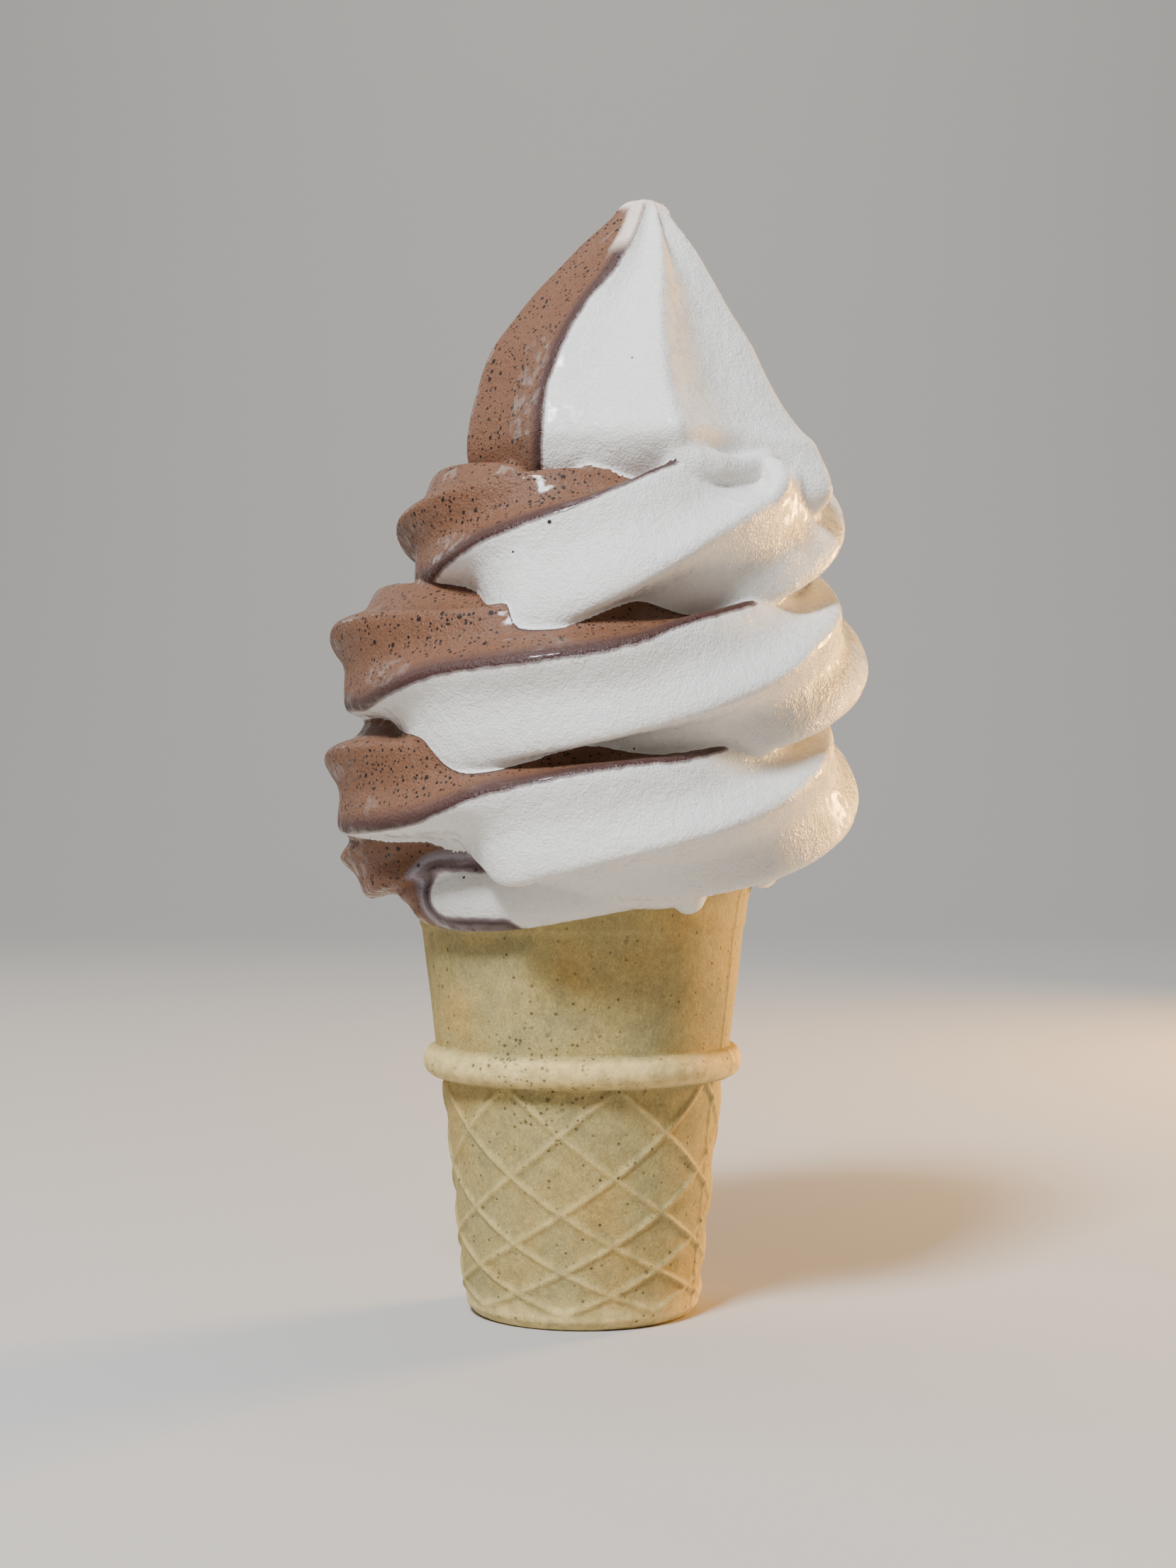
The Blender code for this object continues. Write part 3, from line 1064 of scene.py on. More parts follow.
    def build(self) -> bpy.types.Object:
        """Spin the section into a shell and raise its relief.

        Returns:
            The wafer piece.
        """
        shape = bmesh.new()
        outer = shape.verts.layers.int.new("outer")
        verts = []
        for radius, height, outside in self.profile():
            vert = shape.verts.new((radius, 0.0, height))
            vert[outer] = int(outside)
            verts.append(vert)
        edges = [shape.edges.new(pair) for pair in zip(verts, verts[1:])]
        bmesh.ops.spin(
            shape,
            geom=verts + edges,
            cent=(0.0, 0.0, 0.0),
            axis=(0.0, 0.0, 1.0),
            angle=2.0 * math.pi,
            steps=self.turn_steps,
            use_merge=True,
        )
        bmesh.ops.remove_doubles(shape, verts=shape.verts, dist=0.002 * MM)
        outside = np.array([vert[outer] for vert in shape.verts], bool)
        mesh = mesh_from("wafer_cone_shell", shape)
        places = points_of(mesh)
        radius = np.hypot(places[:, 0], places[:, 1])
        angle = np.arctan2(places[:, 1], places[:, 0])
        ribs = self.lattice(angle, radius, places[:, 2]) * outside
        rise = self.rib_height * ribs + self.seam_height * self.seams(angle, radius) * outside
        sag = np.array([noise.noise(Vector(point) / self.sag_size) for point in places.tolist()])
        rise += self.unevenness * sag * eased(places[:, 2], self.sag_from, self.sag_full)
        scale = 1.0 + rise / np.maximum(radius, 1.0 * MM)
        places[:, 0] *= scale
        places[:, 1] *= scale
        set_points(mesh, places)
        # Painted light: the ring and the foot get a paler colour as if lit, and the ribs a paler one too,
        # stored as the proud attribute.
        from_ring = np.abs(places[:, 2] - self.ring_height)
        ring = 1.0 - eased(from_ring, *(self.ring_half_width * share for share in self.ring_light_span))
        foot = 1.0 - eased(places[:, 2], *(self.foot_height * share for share in self.foot_light_span))
        pale_and_lit_share = np.maximum(self.rib_paleness * ribs, np.maximum(ring, self.foot_light_share * foot))
        proud = mesh.attributes.new(self.PROUD, "FLOAT", "POINT")
        proud.data.foreach_set("value", pale_and_lit_share.astype(np.float32))
        mesh.shade_smooth()
        mesh.materials.append(self.finish.material())
        piece = link("wafer_cone_shell", mesh)
        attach(piece, BODY)
        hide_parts(Node.WAFER.value)
        return piece


# ---------------------------------------------------------------- the swirl


@dataclass(frozen=True)
class Lean:
    """How the swirl's middle line strays from the cone's axis as it rises.

    Attributes:
        sideways: height and shift towards +X, both in millimetres.
        forward: the shift towards +Y as a share of the sideways one.
    """

    sideways: Track = Track(
        (
            (60.0, 0.0),
            (86.0, 1.2),
            (107.0, 2.2),
            (127.0, 6.8),
            (139.3, 9.4),
            (142.2, 8.6),
            (148.0, 7.2),
            (155.4, 6.6),
            (161.3, 6.9),
            (168.0, 7.9),
            (176.0, 9.3),
            (182.0, 10.2),
        )
    )
    forward: float = -0.45

    def at(self, height: np.ndarray) -> tuple[np.ndarray, np.ndarray]:
        """Find the middle line at a height.

        Args:
            height: height above the base.

        Returns:
            Its x and its y.
        """
        shift = self.sideways.at(np.asarray(height) / MM) * MM
        return shift, shift * self.forward


@dataclass(frozen=True)
class Lobes:
    """The nozzle's star: six crests with hollows between, each crest followed as it strays.

    Attributes:
        crests: for each crest, rows of position, azimuth in degrees and reach as a share of the radius.
        hollows: how deep the hollow after each crest is, as a share of the radius.
        softness: how rounded a crest is.
        points: points round the section.
    """

    crests: tuple[Track, ...]
    hollows: tuple[float, ...]
    softness: float = 0.15
    points: int = 18

    def azimuths(self, where: np.ndarray) -> np.ndarray:
        """Find the crests.

        Args:
            where: positions along the track.

        Returns:
            Each crest's azimuth there, and the first one's a full turn on.
        """
        found = [crest.at(where) for crest in self.crests]
        return np.stack([*found, found[0] + 360.0])

    def reach(self, azimuth: np.ndarray, where: np.ndarray, deepen: np.ndarray | float = 1.0) -> np.ndarray:
        """Share of the full radius in a direction.

        Args:
            azimuth: direction, in degrees.
            where: position along the track.
            deepen: factor on the hollows' depth.

        Returns:
            The share of the radius.
        """
        crests = self.azimuths(where)
        azimuth = crests[0] + (azimuth - crests[0]) % 360.0
        ends = [crest.at(where, 2) for crest in self.crests]
        ends.append(ends[0])
        share = np.ones_like(azimuth)
        for lobe, hollow in enumerate(self.hollows):
            begin, end = crests[lobe], crests[lobe + 1]
            inside = (azimuth >= begin) & (azimuth <= end)
            across = np.clip((azimuth - begin) / (end - begin), 0.0, 1.0)
            wave = np.sqrt(np.sin(math.pi * across) ** 2 + self.softness**2) - self.softness
            depth = hollow * deepen * wave / (math.sqrt(1.0 + self.softness**2) - self.softness)
            ease = across * across * (3.0 - 2.0 * across)
            between = ends[lobe] * (1.0 - ease) + ends[lobe + 1] * ease
            share = np.where(inside, between * (1.0 - depth), share)
        return share

    def outline(self, where: float) -> np.ndarray:
        """Spread points round the star, with one on each crest.

        Args:
            where: position along the track.

        Returns:
            Their azimuths, even between two crests.
        """
        crests = self.azimuths(np.array([where]))[:, 0]
        steps = np.arange(self.points) / self.points
        return np.concatenate([begin + (end - begin) * steps for begin, end in zip(crests, crests[1:])])

    def side(self, azimuth: np.ndarray, where: np.ndarray) -> np.ndarray:
        """Angle from the flavours' meeting crests, above 0 on the chocolate's side.

        Args:
            azimuth: direction, in degrees.
            where: position along the track.

        Returns:
            The signed angle, in degrees.
        """
        crests = self.azimuths(where)
        azimuth = crests[0] + (azimuth - crests[0]) % 360.0
        from_back = azimuth - crests[3]
        to_front = crests[6] - azimuth
        in_chocolate = np.minimum(from_back, to_front)
        in_vanilla = np.minimum(azimuth - crests[0], -from_back)
        return np.where(from_back > 0.0, in_chocolate, -in_vanilla)


@dataclass(frozen=True)
class Rope:
    """The rope of soft serve, coiled anticlockwise up from the rim.

    Its coil angle grows in degrees from +X. A point of its skin is named by that angle and by its section
    angle, 0 outwards and 90 upwards. The lobes keep their compass direction all the way up.

    Attributes:
        track: coil angle, then coil radius, rope radius and lift above an even helix in millimetres.
        lobes: the star section, its rows read at coil angles.
        step: degrees of coil between sections.
        crease_blend: how near two turns have to be for their flavours to run into each other.
        tightest: the smallest coil radius that a place is unrolled at.
        dome_length: length of the rounded ends as a share of the rope's size.
        lean: the swirl's middle line.
        pitch: rise for each turn, in millimetres.
        level: height of the helix at one coil angle, in millimetres.
        level_angle: that coil angle.
        tilt_x: how far the turns tip towards +X, in millimetres.
        tilt_y: how far they tip towards +Y, in millimetres.
        dome_steps: sections in each rounded end.
    """

    track: Track = Track(
        (
            (150.0, 25.0, 6.0, 11.0),
            (180.0, 32.6, 7.9, 9.6),
            (200.0, 31.8, 7.6, 10.8),
            (222.0, 28.0, 6.8, 13.4),
            (250.0, 24.0, 7.6, 15.6),
            (270.0, 24.0, 8.6, 15.6),
            (300.0, 25.6, 8.4, 15.2),
            (324.0, 26.2, 6.6, 17.0),
            (345.0, 26.8, 8.4, 14.5),
            (360.0, 27.0, 9.6, 12.0),
            (450.0, 29.5, 11.8, 4.5),
            (540.0, 31.3, 12.6, 1.0),
            (900.0, 31.4, 12.6, 0.0),
            (1080.0, 31.3, 12.6, 0.0),
            (1260.0, 25.2, 12.0, -1.2),
            (1440.0, 22.8, 12.8, 0.0),
            (1530.0, 17.0, 11.5, 0.0),
            (1620.0, 10.0, 9.0, 0.0),
        )
    )
    lobes: Lobes = Lobes(
        crests=(
            Track(
                (
                    (150.0, 250.0, 1.0),
                    (480.0, 246.0, 1.0),
                    (530.0, 227.0, 1.0),
                    (545.0, 228.0, 1.0),
                    (565.0, 239.0, 1.0),
                    (592.0, 247.0, 1.0),
                    (610.0, 238.5, 1.02),
                    (624.0, 238.0, 1.02),
                    (640.0, 242.0, 1.02),
                    (652.0, 248.0, 1.0),
                    (700.0, 251.0, 1.0),
                    (850.0, 246.0, 1.0),
                    (888.0, 228.0, 1.0),
                    (904.0, 230.0, 1.0),
                    (920.0, 240.0, 1.0),
                    (932.0, 246.0, 1.0),
                    (944.0, 243.5, 1.02),
                    (956.0, 241.5, 1.02),
                    (976.0, 248.5, 1.02),
                    (996.0, 254.0, 1.0),
                    (1012.0, 247.0, 1.0),
                    (1100.0, 246.0, 1.0),
                    (1210.0, 244.0, 1.0),
                    (1242.0, 231.0, 1.0),
                    (1262.0, 231.0, 1.0),
                    (1278.0, 240.0, 1.0),
                    (1290.0, 246.0, 1.0),
                    (1304.0, 242.0, 1.02),
                    (1318.0, 237.0, 1.02),
                    (1336.0, 234.5, 1.02),
                    (1350.0, 228.0, 1.05),
                    (1366.0, 222.0, 1.13),
                    (1382.0, 221.0, 1.1),
                    (1620.0, 221.0, 1.0),
                )
            ),
            Track(
                (
                    (150.0, 308.0, 1.0),
                    (520.0, 308.0, 0.85),
                    (570.0, 309.0, 0.58),
                    (596.0, 309.0, 0.6),
                    (605.0, 308.0, 0.82),
                    (611.0, 307.0, 1.06),
                    (616.0, 306.0, 1.14),
                    (624.0, 306.0, 1.08),
                    (640.0, 305.8, 1.0),
                    (668.0, 306.5, 1.0),
                    (684.0, 303.0, 1.0),
                    (700.0, 299.0, 1.0),
                    (880.0, 308.0, 0.95),
                    (922.0, 307.0, 0.92),
                    (936.0, 305.0, 1.2),
                    (948.0, 304.5, 1.42),
                    (958.0, 305.5, 1.4),
                    (970.0, 308.5, 1.27),
                    (982.0, 312.0, 1.17),
                    (992.0, 314.0, 1.1),
                    (1006.0, 315.5, 1.03),
                    (1022.0, 314.0, 1.0),
                    (1034.0, 310.0, 1.0),
                    (1046.0, 303.5, 1.0),
                    (1280.0, 312.0, 1.0),
                    (1304.0, 309.0, 1.08),
                    (1316.0, 305.0, 1.5),
                    (1326.0, 303.0, 1.72),
                    (1335.0, 303.0, 1.5),
                    (1351.0, 301.5, 1.24),
                    (1360.0, 298.0, 1.12),
                    (1368.0, 292.5, 1.06),
                    (1378.0, 287.0, 1.02),
                    (1390.0, 285.0, 1.0),
                    (1620.0, 284.0, 1.0),
                )
            ),
            Track(
                (
                    (150.0, 376.0, 1.0),
                    (630.0, 375.0, 1.03),
                    (1000.0, 371.0, 1.08),
                    (1350.0, 364.0, 1.0),
                    (1620.0, 350.0, 1.0),
                )
            ),
            Track(((150.0, 436.0, 1.0), (1620.0, 418.0, 1.0))),
            Track(
                (
                    (150.0, 490.0, 1.0),
                    (480.0, 490.0, 1.0),
                    (530.0, 466.0, 0.97),
                    (545.0, 466.0, 0.97),
                    (600.0, 484.0, 1.0),
                    (850.0, 488.0, 1.0),
                    (890.0, 466.0, 0.97),
                    (905.0, 466.0, 0.97),
                    (950.0, 484.0, 1.0),
                    (1210.0, 484.0, 1.0),
                    (1250.0, 474.0, 0.95),
                    (1300.0, 480.0, 1.0),
                    (1620.0, 474.0, 1.0),
                )
            ),
            Track(
                (
                    (150.0, 548.0, 1.0),
                    (480.0, 548.0, 1.0),
                    (530.0, 526.0, 1.0),
                    (545.0, 526.0, 1.0),
                    (575.0, 536.0, 0.96),
                    (600.0, 543.0, 0.93),
                    (625.0, 547.0, 0.96),
                    (700.0, 550.0, 1.0),
                    (850.0, 546.0, 1.0),
                    (890.0, 526.0, 1.0),
                    (905.0, 526.0, 1.0),
                    (935.0, 537.0, 0.96),
                    (955.0, 545.0, 0.91),
                    (975.0, 548.0, 0.91),
                    (995.0, 548.0, 0.97),
                    (1100.0, 548.0, 1.0),
                    (1200.0, 545.0, 1.0),
                    (1245.0, 538.0, 1.0),
                    (1300.0, 541.0, 1.0),
                    (1340.0, 538.0, 1.0),
                    (1620.0, 534.0, 1.0),
                )
            ),
        ),
        hollows=(0.2, 0.27, 0.20, 0.20, 0.20, 0.22),
    )
    lean: Lean = Lean()
    pitch: float = 20.9 * MM
    level: float = 86.2 * MM
    level_angle: float = 630.0
    tilt_x: float = -4.7 * MM
    tilt_y: float = 6.0 * MM
    step: float = 2.5
    crease_blend: float = 0.035
    tightest: float = 8.0 * MM
    dome_steps: int = 5
    dome_length: float = 0.8

    def height(self, angle: np.ndarray) -> np.ndarray:
        """Find how high the rope lies.

        Args:
            angle: coil angle.

        Returns:
            Height of the rope's middle.
        """
        turn = np.radians(angle)
        helix = self.level + self.pitch * (angle - self.level_angle) / 360.0
        return helix + self.tilt_x * np.cos(turn) + self.tilt_y * np.sin(turn) + self.track.at(angle, 3) * MM

    def centre(self, angle: np.ndarray) -> np.ndarray:
        """Find the middle of the rope.

        Args:
            angle: coil angle.

        Returns:
            Rows of x, y and z.
        """
        turn = np.radians(angle)
        height = self.height(angle)
        x, y = self.lean.at(height)
        radius = self.track.at(angle, 1) * MM
        return np.stack([x + radius * np.cos(turn), y + radius * np.sin(turn), height], -1)

    def rings(self) -> list[np.ndarray]:
        """Lay the star section along the coil.

        Returns:
            The rope's sections, one for each step of the coil.
        """
        angles = np.arange(self.track.first, self.track.last + 0.5 * self.step, self.step)
        middle = self.centre(angles)
        along = np.gradient(middle, axis=0)
        along /= np.linalg.norm(along, axis=1, keepdims=True)
        turn = np.radians(angles)
        out = np.stack([np.cos(turn), np.sin(turn), np.zeros_like(turn)], -1)
        out -= (out * along).sum(1, keepdims=True) * along
        out /= np.linalg.norm(out, axis=1, keepdims=True)
        up = np.cross(out, along)
        up *= np.sign(up[:, 2:3])
        found = []
        for index, angle in enumerate(angles):
            azimuth = self.lobes.outline(angle)
            share = self.lobes.reach(azimuth, np.full(len(azimuth), angle))
            size = float(self.track.at(angle, 2)) * MM * share
            lean = np.radians(angle - azimuth)
            spread = np.cos(lean)[:, None] * out[index] + np.sin(lean)[:, None] * up[index]
            found.append(middle[index] + size[:, None] * spread)
        return self._rounded(found, middle, along)

    def _rounded(self, rings: list[np.ndarray], middle: np.ndarray, along: np.ndarray) -> list[np.ndarray]:
        """Add shrinking sections at both ends, so that the rope ends in a dome.

        Args:
            rings: the sections.
            middle: the middle of each.
            along: the rope's direction at each.

        Returns:
            The sections with both domes.
        """
        domes = []
        for ring, centre, way in ((rings[0], middle[0], -along[0]), (rings[-1], middle[-1], along[-1])):
            size = np.linalg.norm(ring - centre, axis=1).max()
            dome = []
            for step in range(1, self.dome_steps + 1):
                turn = 0.5 * math.pi * step / (self.dome_steps + 0.5)
                rise = way * size * self.dome_length * math.sin(turn)
                dome.append(centre + (ring - centre) * math.cos(turn) + rise)
            domes.append(dome)
        return list(reversed(domes[0])) + rings + domes[1]

    def locate(self, places: np.ndarray) -> tuple[np.ndarray, np.ndarray, np.ndarray]:
        """Find where on the rope each point of the skin lies.

        Args:
            places: rows of x, y and z.

        Returns:
            Coil angle, signed distance from the flavours' meeting line, and the distance from the rope's
            middle as a share of its size there.
        """
        best = np.full(len(places), np.inf)
        second = np.full(len(places), np.inf)
        coil = np.full(len(places), self.track.first)
        away = np.zeros(len(places))
        other = np.zeros(len(places))
        x, y = self.lean.at(places[:, 2])
        start = np.degrees(np.arctan2(places[:, 1] - y, places[:, 0] - x)) % 360.0
        for turn in range(int(self.track.last // 360.0) + 1):
            angle = np.clip(start + 360.0 * turn, self.track.first, self.track.last)
            for _ in range(2):
                off = places - self.centre(angle)
                facing = np.radians(angle)
                aside = off[:, 1] * np.cos(facing) - off[:, 0] * np.sin(facing)
                radius = np.maximum(self.track.at(angle, 1) * MM, self.tightest)
                angle = angle + np.degrees(aside / radius)
                angle = np.clip(angle, self.track.first, self.track.last)
            off = places - self.centre(angle)
            facing = np.radians(angle)
            outward = off[:, 0] * np.cos(facing) + off[:, 1] * np.sin(facing)
            lobe = angle - np.degrees(np.arctan2(off[:, 2], outward))
            size = self.track.at(angle, 2) * MM * self.lobes.reach(lobe, angle)
            share = np.linalg.norm(off, axis=1) / size
            side = np.radians(self.lobes.side(lobe, angle)) * size
            closer = share < best
            runner = ~closer & (share < second)
            second = np.where(closer, best, np.where(runner, share, second))
            other = np.where(closer, away, np.where(runner, side, other))
            best = np.where(closer, share, best)
            coil = np.where(closer, angle, coil)
            away = np.where(closer, side, away)
        lean_to_other = 0.5 * np.exp(-(second - best) / self.crease_blend)
        away = away * (1.0 - lean_to_other) + other * lean_to_other
        return coil, away, best


@dataclass(frozen=True)
class Peak:
    """The last pull of the nozzle: a star-ridged cone that leans to its point, with a core down into the cup.

    Attributes:
        outline: height and radius, in millimetres.
        lobes: the star section, its rows read at heights in millimetres.
        round_below: height below which the core is round.
        star_above: height above which the section is a full star.
        deepen_from: height above which the hollows deepen towards the point.
        deepen_by: how much deeper they are at the point.
        point_share: width of the last section's cap as a share of it.
        point_rise: how far the cap stands above the last section.
        step: distance between the sections.
        lean: the swirl's middle line.
    """

    outline: Track = Track(
        (
            (72.0, 24.0),
            (80.0, 22.5),
            (118.0, 21.5),
            (128.0, 23.0),
            (132.0, 25.2),
            (135.0, 27.2),
            (139.3, 28.4),
            (142.2, 27.5),
            (148.0, 25.1),
            (155.4, 21.9),
            (161.3, 18.2),
            (168.0, 13.4),
            (172.0, 10.3),
            (175.4, 7.2),
            (177.8, 5.1),
            (179.5, 4.1),
            (180.3, 3.1),
        )
    )
    lobes: Lobes = Lobes(
        crests=(
            Track(
                (
                    (100.0, 232.0, 1.0),
                    (135.0, 235.0, 1.0),
                    (144.0, 237.5, 1.0),
                    (155.0, 244.5, 1.0),
                    (160.0, 248.0, 1.0),
                    (168.0, 259.0, 1.0),
                    (182.0, 268.0, 1.0),
                )
            ),
            Track(
                (
                    (100.0, 290.0, 1.0),
                    (133.0, 287.0, 1.0),
                    (138.5, 280.5, 1.02),
                    (151.0, 283.0, 1.02),
                    (163.5, 288.0, 1.0),
                    (172.5, 293.0, 1.0),
                    (182.0, 303.0, 1.0),
                )
            ),
            Track(
                (
                    (100.0, 338.0, 1.0),
                    (120.0, 338.0, 1.4),
                    (128.0, 339.0, 1.46),
                    (131.5, 339.0, 1.36),
                    (134.5, 340.0, 1.2),
                    (139.0, 342.0, 1.04),
                    (144.0, 342.0, 1.0),
                    (182.0, 352.0, 1.0),
                )
            ),
            Track(((100.0, 395.0, 1.0), (182.0, 408.0, 1.0))),
            Track(((100.0, 455.0, 1.0), (182.0, 470.0, 1.0))),
            Track(((100.0, 546.0, 1.0), (140.0, 550.0, 1.0), (182.0, 564.0, 1.0))),
        ),
        hollows=(0.09, 0.22, 0.16, 0.14, 0.16, 0.12),
        softness=0.07,
        points=26,
    )
    round_below: float = 118.0 * MM
    star_above: float = 132.0 * MM
    deepen_from: float = 164.0 * MM
    deepen_by: float = 1.1
    step: float = 0.7 * MM
    point_share: float = 0.5
    point_rise: float = 0.4 * MM
    lean: Lean = Lean()

    @property
    def top(self) -> float:
        """Height of the point."""
        return self.outline.last * MM

    def radius(self, azimuth: np.ndarray, height: np.ndarray) -> np.ndarray:
        """Distance from the middle line to the skin.

        Args:
            azimuth: direction, in degrees.
            height: height above the base.

        Returns:
            The distance.
        """
        starred = eased(height, self.round_below, self.star_above)
        deepen = 1.0 + self.deepen_by * eased(height, self.deepen_from, self.top)
        reach = 1.0 + starred * (self.lobes.reach(azimuth, height / MM, deepen) - 1.0)
        return self.outline.at(height / MM) * MM * reach

    def rings(self) -> list[np.ndarray]:
        """Stack the peak's sections.

        Returns:
            The sections from the cup up to the point.
        """
        found = []
        count = int((self.top - self.outline.first * MM) / self.step)
        for height in np.linspace(self.outline.first * MM, self.top, count):
            azimuth = self.lobes.outline(height / MM)
            level = np.full(len(azimuth), height)
            reach = self.radius(azimuth, level)
            x, y = self.lean.at(height)
            turn = np.radians(azimuth)
            found.append(np.stack([x + reach * np.cos(turn), y + reach * np.sin(turn), level], -1))
        last = found[-1]
        centre = last.mean(axis=0)
        found.append(centre + (last - centre) * self.point_share + np.array([0.0, 0.0, self.point_rise]))
        return found

    def locate(self, places: np.ndarray) -> tuple[np.ndarray, np.ndarray]:
        """Find where on the peak each point of the skin lies.

        Args:
            places: rows of x, y and z.

        Returns:
            Azimuth about the peak's middle line, and distance from it as a share of the peak's radius.
        """
        x, y = self.lean.at(places[:, 2])
        azimuth = np.degrees(np.arctan2(places[:, 1] - y, places[:, 0] - x)) % 360.0
        share = np.hypot(places[:, 0] - x, places[:, 1] - y) / self.radius(azimuth, places[:, 2])
        return azimuth, share


@dataclass(frozen=True)
class Roll:
    """A soft roll of cream laid along a path, flattened to fit against what is behind it.

    Attributes:
        path: rows of x, y, z and radius, in millimetres.
        flatten: how thick it is front to back, as a share of its height.
        steps: sections between two stations.
        points: points round a section.
        cap_steps: sections in each rounded end.
        cap_turns: angles between which the end curves, in radians from its tip.
    """

    path: tuple[tuple[float, float, float, float], ...]
    flatten: float = 1.0
    steps: int = 10
    points: int = 32
    cap_steps: int = 6
    cap_turns: tuple[float, float] = (1.4, 0.2)

    def rings(self) -> list[np.ndarray]:
        """Lay round sections along the path and round both ends off.

        Returns:
            The roll's sections.
        """
        table = np.array(self.path) * MM
        knots = np.arange(len(table), dtype=float)
        columns = [Track(tuple((float(k), float(v)) for k, v in zip(knots, table[:, c]))) for c in range(4)]
        where = np.linspace(0.0, knots[-1], self.steps * (len(knots) - 1) + 1)
        middle = np.stack([columns[c].at(where) for c in range(3)], -1)
        size = columns[3].at(where)
        along = np.gradient(middle, axis=0)
        along /= np.linalg.norm(along, axis=1, keepdims=True)
        cap = np.linspace(*self.cap_turns, self.cap_steps)
        begin = middle[0] - along[0] * size[0] * np.sin(cap)[:, None]
        end = middle[-1] + along[-1] * size[-1] * np.sin(cap[::-1])[:, None]
        middle = np.concatenate([begin, middle, end])
        first, last = along[:1].repeat(self.cap_steps, 0), along[-1:].repeat(self.cap_steps, 0)
        along = np.concatenate([first, along, last])
        size = np.concatenate([size[0] * np.cos(cap), size, size[-1] * np.cos(cap[::-1])])
        turn = np.linspace(0.0, 2.0 * math.pi, self.points, endpoint=False)
        found = []
        for centre, way, radius in zip(middle, along, size):
            up = np.array([0.0, 0.0, 1.0]) - way * way[2]
            up = up / max(np.linalg.norm(up), 1e-6)
            side = np.cross(way, up)
            ring = np.cos(turn)[:, None] * side * self.flatten + np.sin(turn)[:, None] * up
            found.append(centre + radius * ring)
        return found


@dataclass(frozen=True)
class Lump:
    """A bead of soft serve that hangs where the first turn squeezed over the rim.

    Attributes:
        azimuth: its direction from the cone's axis, in degrees.
        out: its distance from the axis, in millimetres.
        height: the height of its middle, in millimetres.
        size: its half sizes outwards, along the rim and upwards, in millimetres.
    """

    azimuth: float
    out: float
    height: float
    size: tuple[float, float, float]


@dataclass(frozen=True)
class SoftSpot:
    """A place where the cream has melted together, so its creases are rounder.

    Attributes:
        place: its middle, in millimetres.
        reach: how far it reaches, in millimetres.
    """

    place: tuple[float, float, float]
    reach: float


@dataclass(frozen=True)
class FoldedEnd:
    """Where the rope starts: the white ends in a round tongue, with the chocolate folded round it.

    Azimuths are in degrees, and heights and widths in millimetres.

    Attributes:
        begin: azimuth of the white tongue's round end.
        height: height of its middle.
        half: half its width.
        radius: distance from the axis that it is measured at.
        opens_up: azimuths over which its upper edge lifts, and by how much.
        opens_down: the same for its lower edge.
        reach: azimuths between which the first turn shows.
        upper_edge: azimuth and height of the first turn's upper edge.
        coil_end: coil angle up to which the skin belongs to the first turn.
        top: height above which it can't.
        hand_over: azimuths over which the rope's own flavours take over.
        bloom_fade: azimuths over which the lilac bloom fades.
        rim_reach: azimuths over which the cream that runs on along the rim fades from vanilla.
        rim_top: heights over which it does.
        rim_depth: how deep in the vanilla it lies.
    """

    begin: float = 229.4
    height: float = 68.5
    half: float = 3.5
    radius: float = 31.0
    opens_up: tuple[float, float, float] = (243.0, 251.0, 9.0)
    opens_down: tuple[float, float, float] = (247.0, 259.0, 5.0)
    reach: tuple[float, float] = (150.0, 300.0)
    upper_edge: Track = Track(
        (
            (150.0, 79.0),
            (205.0, 77.0),
            (225.0, 75.6),
            (238.0, 73.4),
            (246.0, 70.2),
            (254.0, 70.2),
            (300.0, 72.0),
        )
    )
    coil_end: float = 330.0
    top: float = 80.0
    hand_over: tuple[float, float] = (272.0, 296.0)
    bloom_fade: tuple[float, float] = (262.0, 280.0)
    rim_reach: tuple[float, float] = (348.0, 360.0)
    rim_top: tuple[float, float] = (73.0, 75.5)
    rim_depth: float = 1.5

    def flavour(
        self, places: np.ndarray, coil: np.ndarray, away: np.ndarray
    ) -> tuple[np.ndarray, np.ndarray]:
        """Fold the flavours round the rope's first end.

        Args:
            places: rows of x, y and z.
            coil: coil angle of each.
            away: signed distance from the rope's own meeting line.

        Returns:
            The signed distance with the fold, and how near the folded end is, from 0 to 1.
        """
        azimuth = np.degrees(np.arctan2(places[:, 1], places[:, 0])) % 360.0
        height = places[:, 2] / MM
        along = np.minimum(np.radians(azimuth - self.begin) * self.radius, 0.0)
        up = height - self.height
        lifts = self.opens_up[2] * eased(azimuth, *self.opens_up[:2])
        drops = self.opens_down[2] * eased(azimuth, *self.opens_down[:2])
        tongue = (np.hypot(along, up) - self.half - np.where(up > 0.0, lifts, drops)) * MM
        under = (height < self.upper_edge.at(azimuth)) | ((coil < self.coil_end) & (height < self.top))
        first = (azimuth > self.reach[0]) & (azimuth < self.reach[1]) & under
        share = eased(azimuth, *self.hand_over)
        folded = tongue * (1.0 - share) + np.minimum(away, tongue) * share
        found = np.where(first, folded, away)
        overrun = (azimuth > self.hand_over[1]) * (1.0 - eased(azimuth, *self.rim_reach))
        overrun = overrun * (1.0 - eased(height, *self.rim_top))
        found = found * (1.0 - overrun) + np.minimum(found, -self.rim_depth * MM) * overrun
        return found, np.where(first, 1.0 - eased(azimuth, *self.bloom_fade), 0.0)


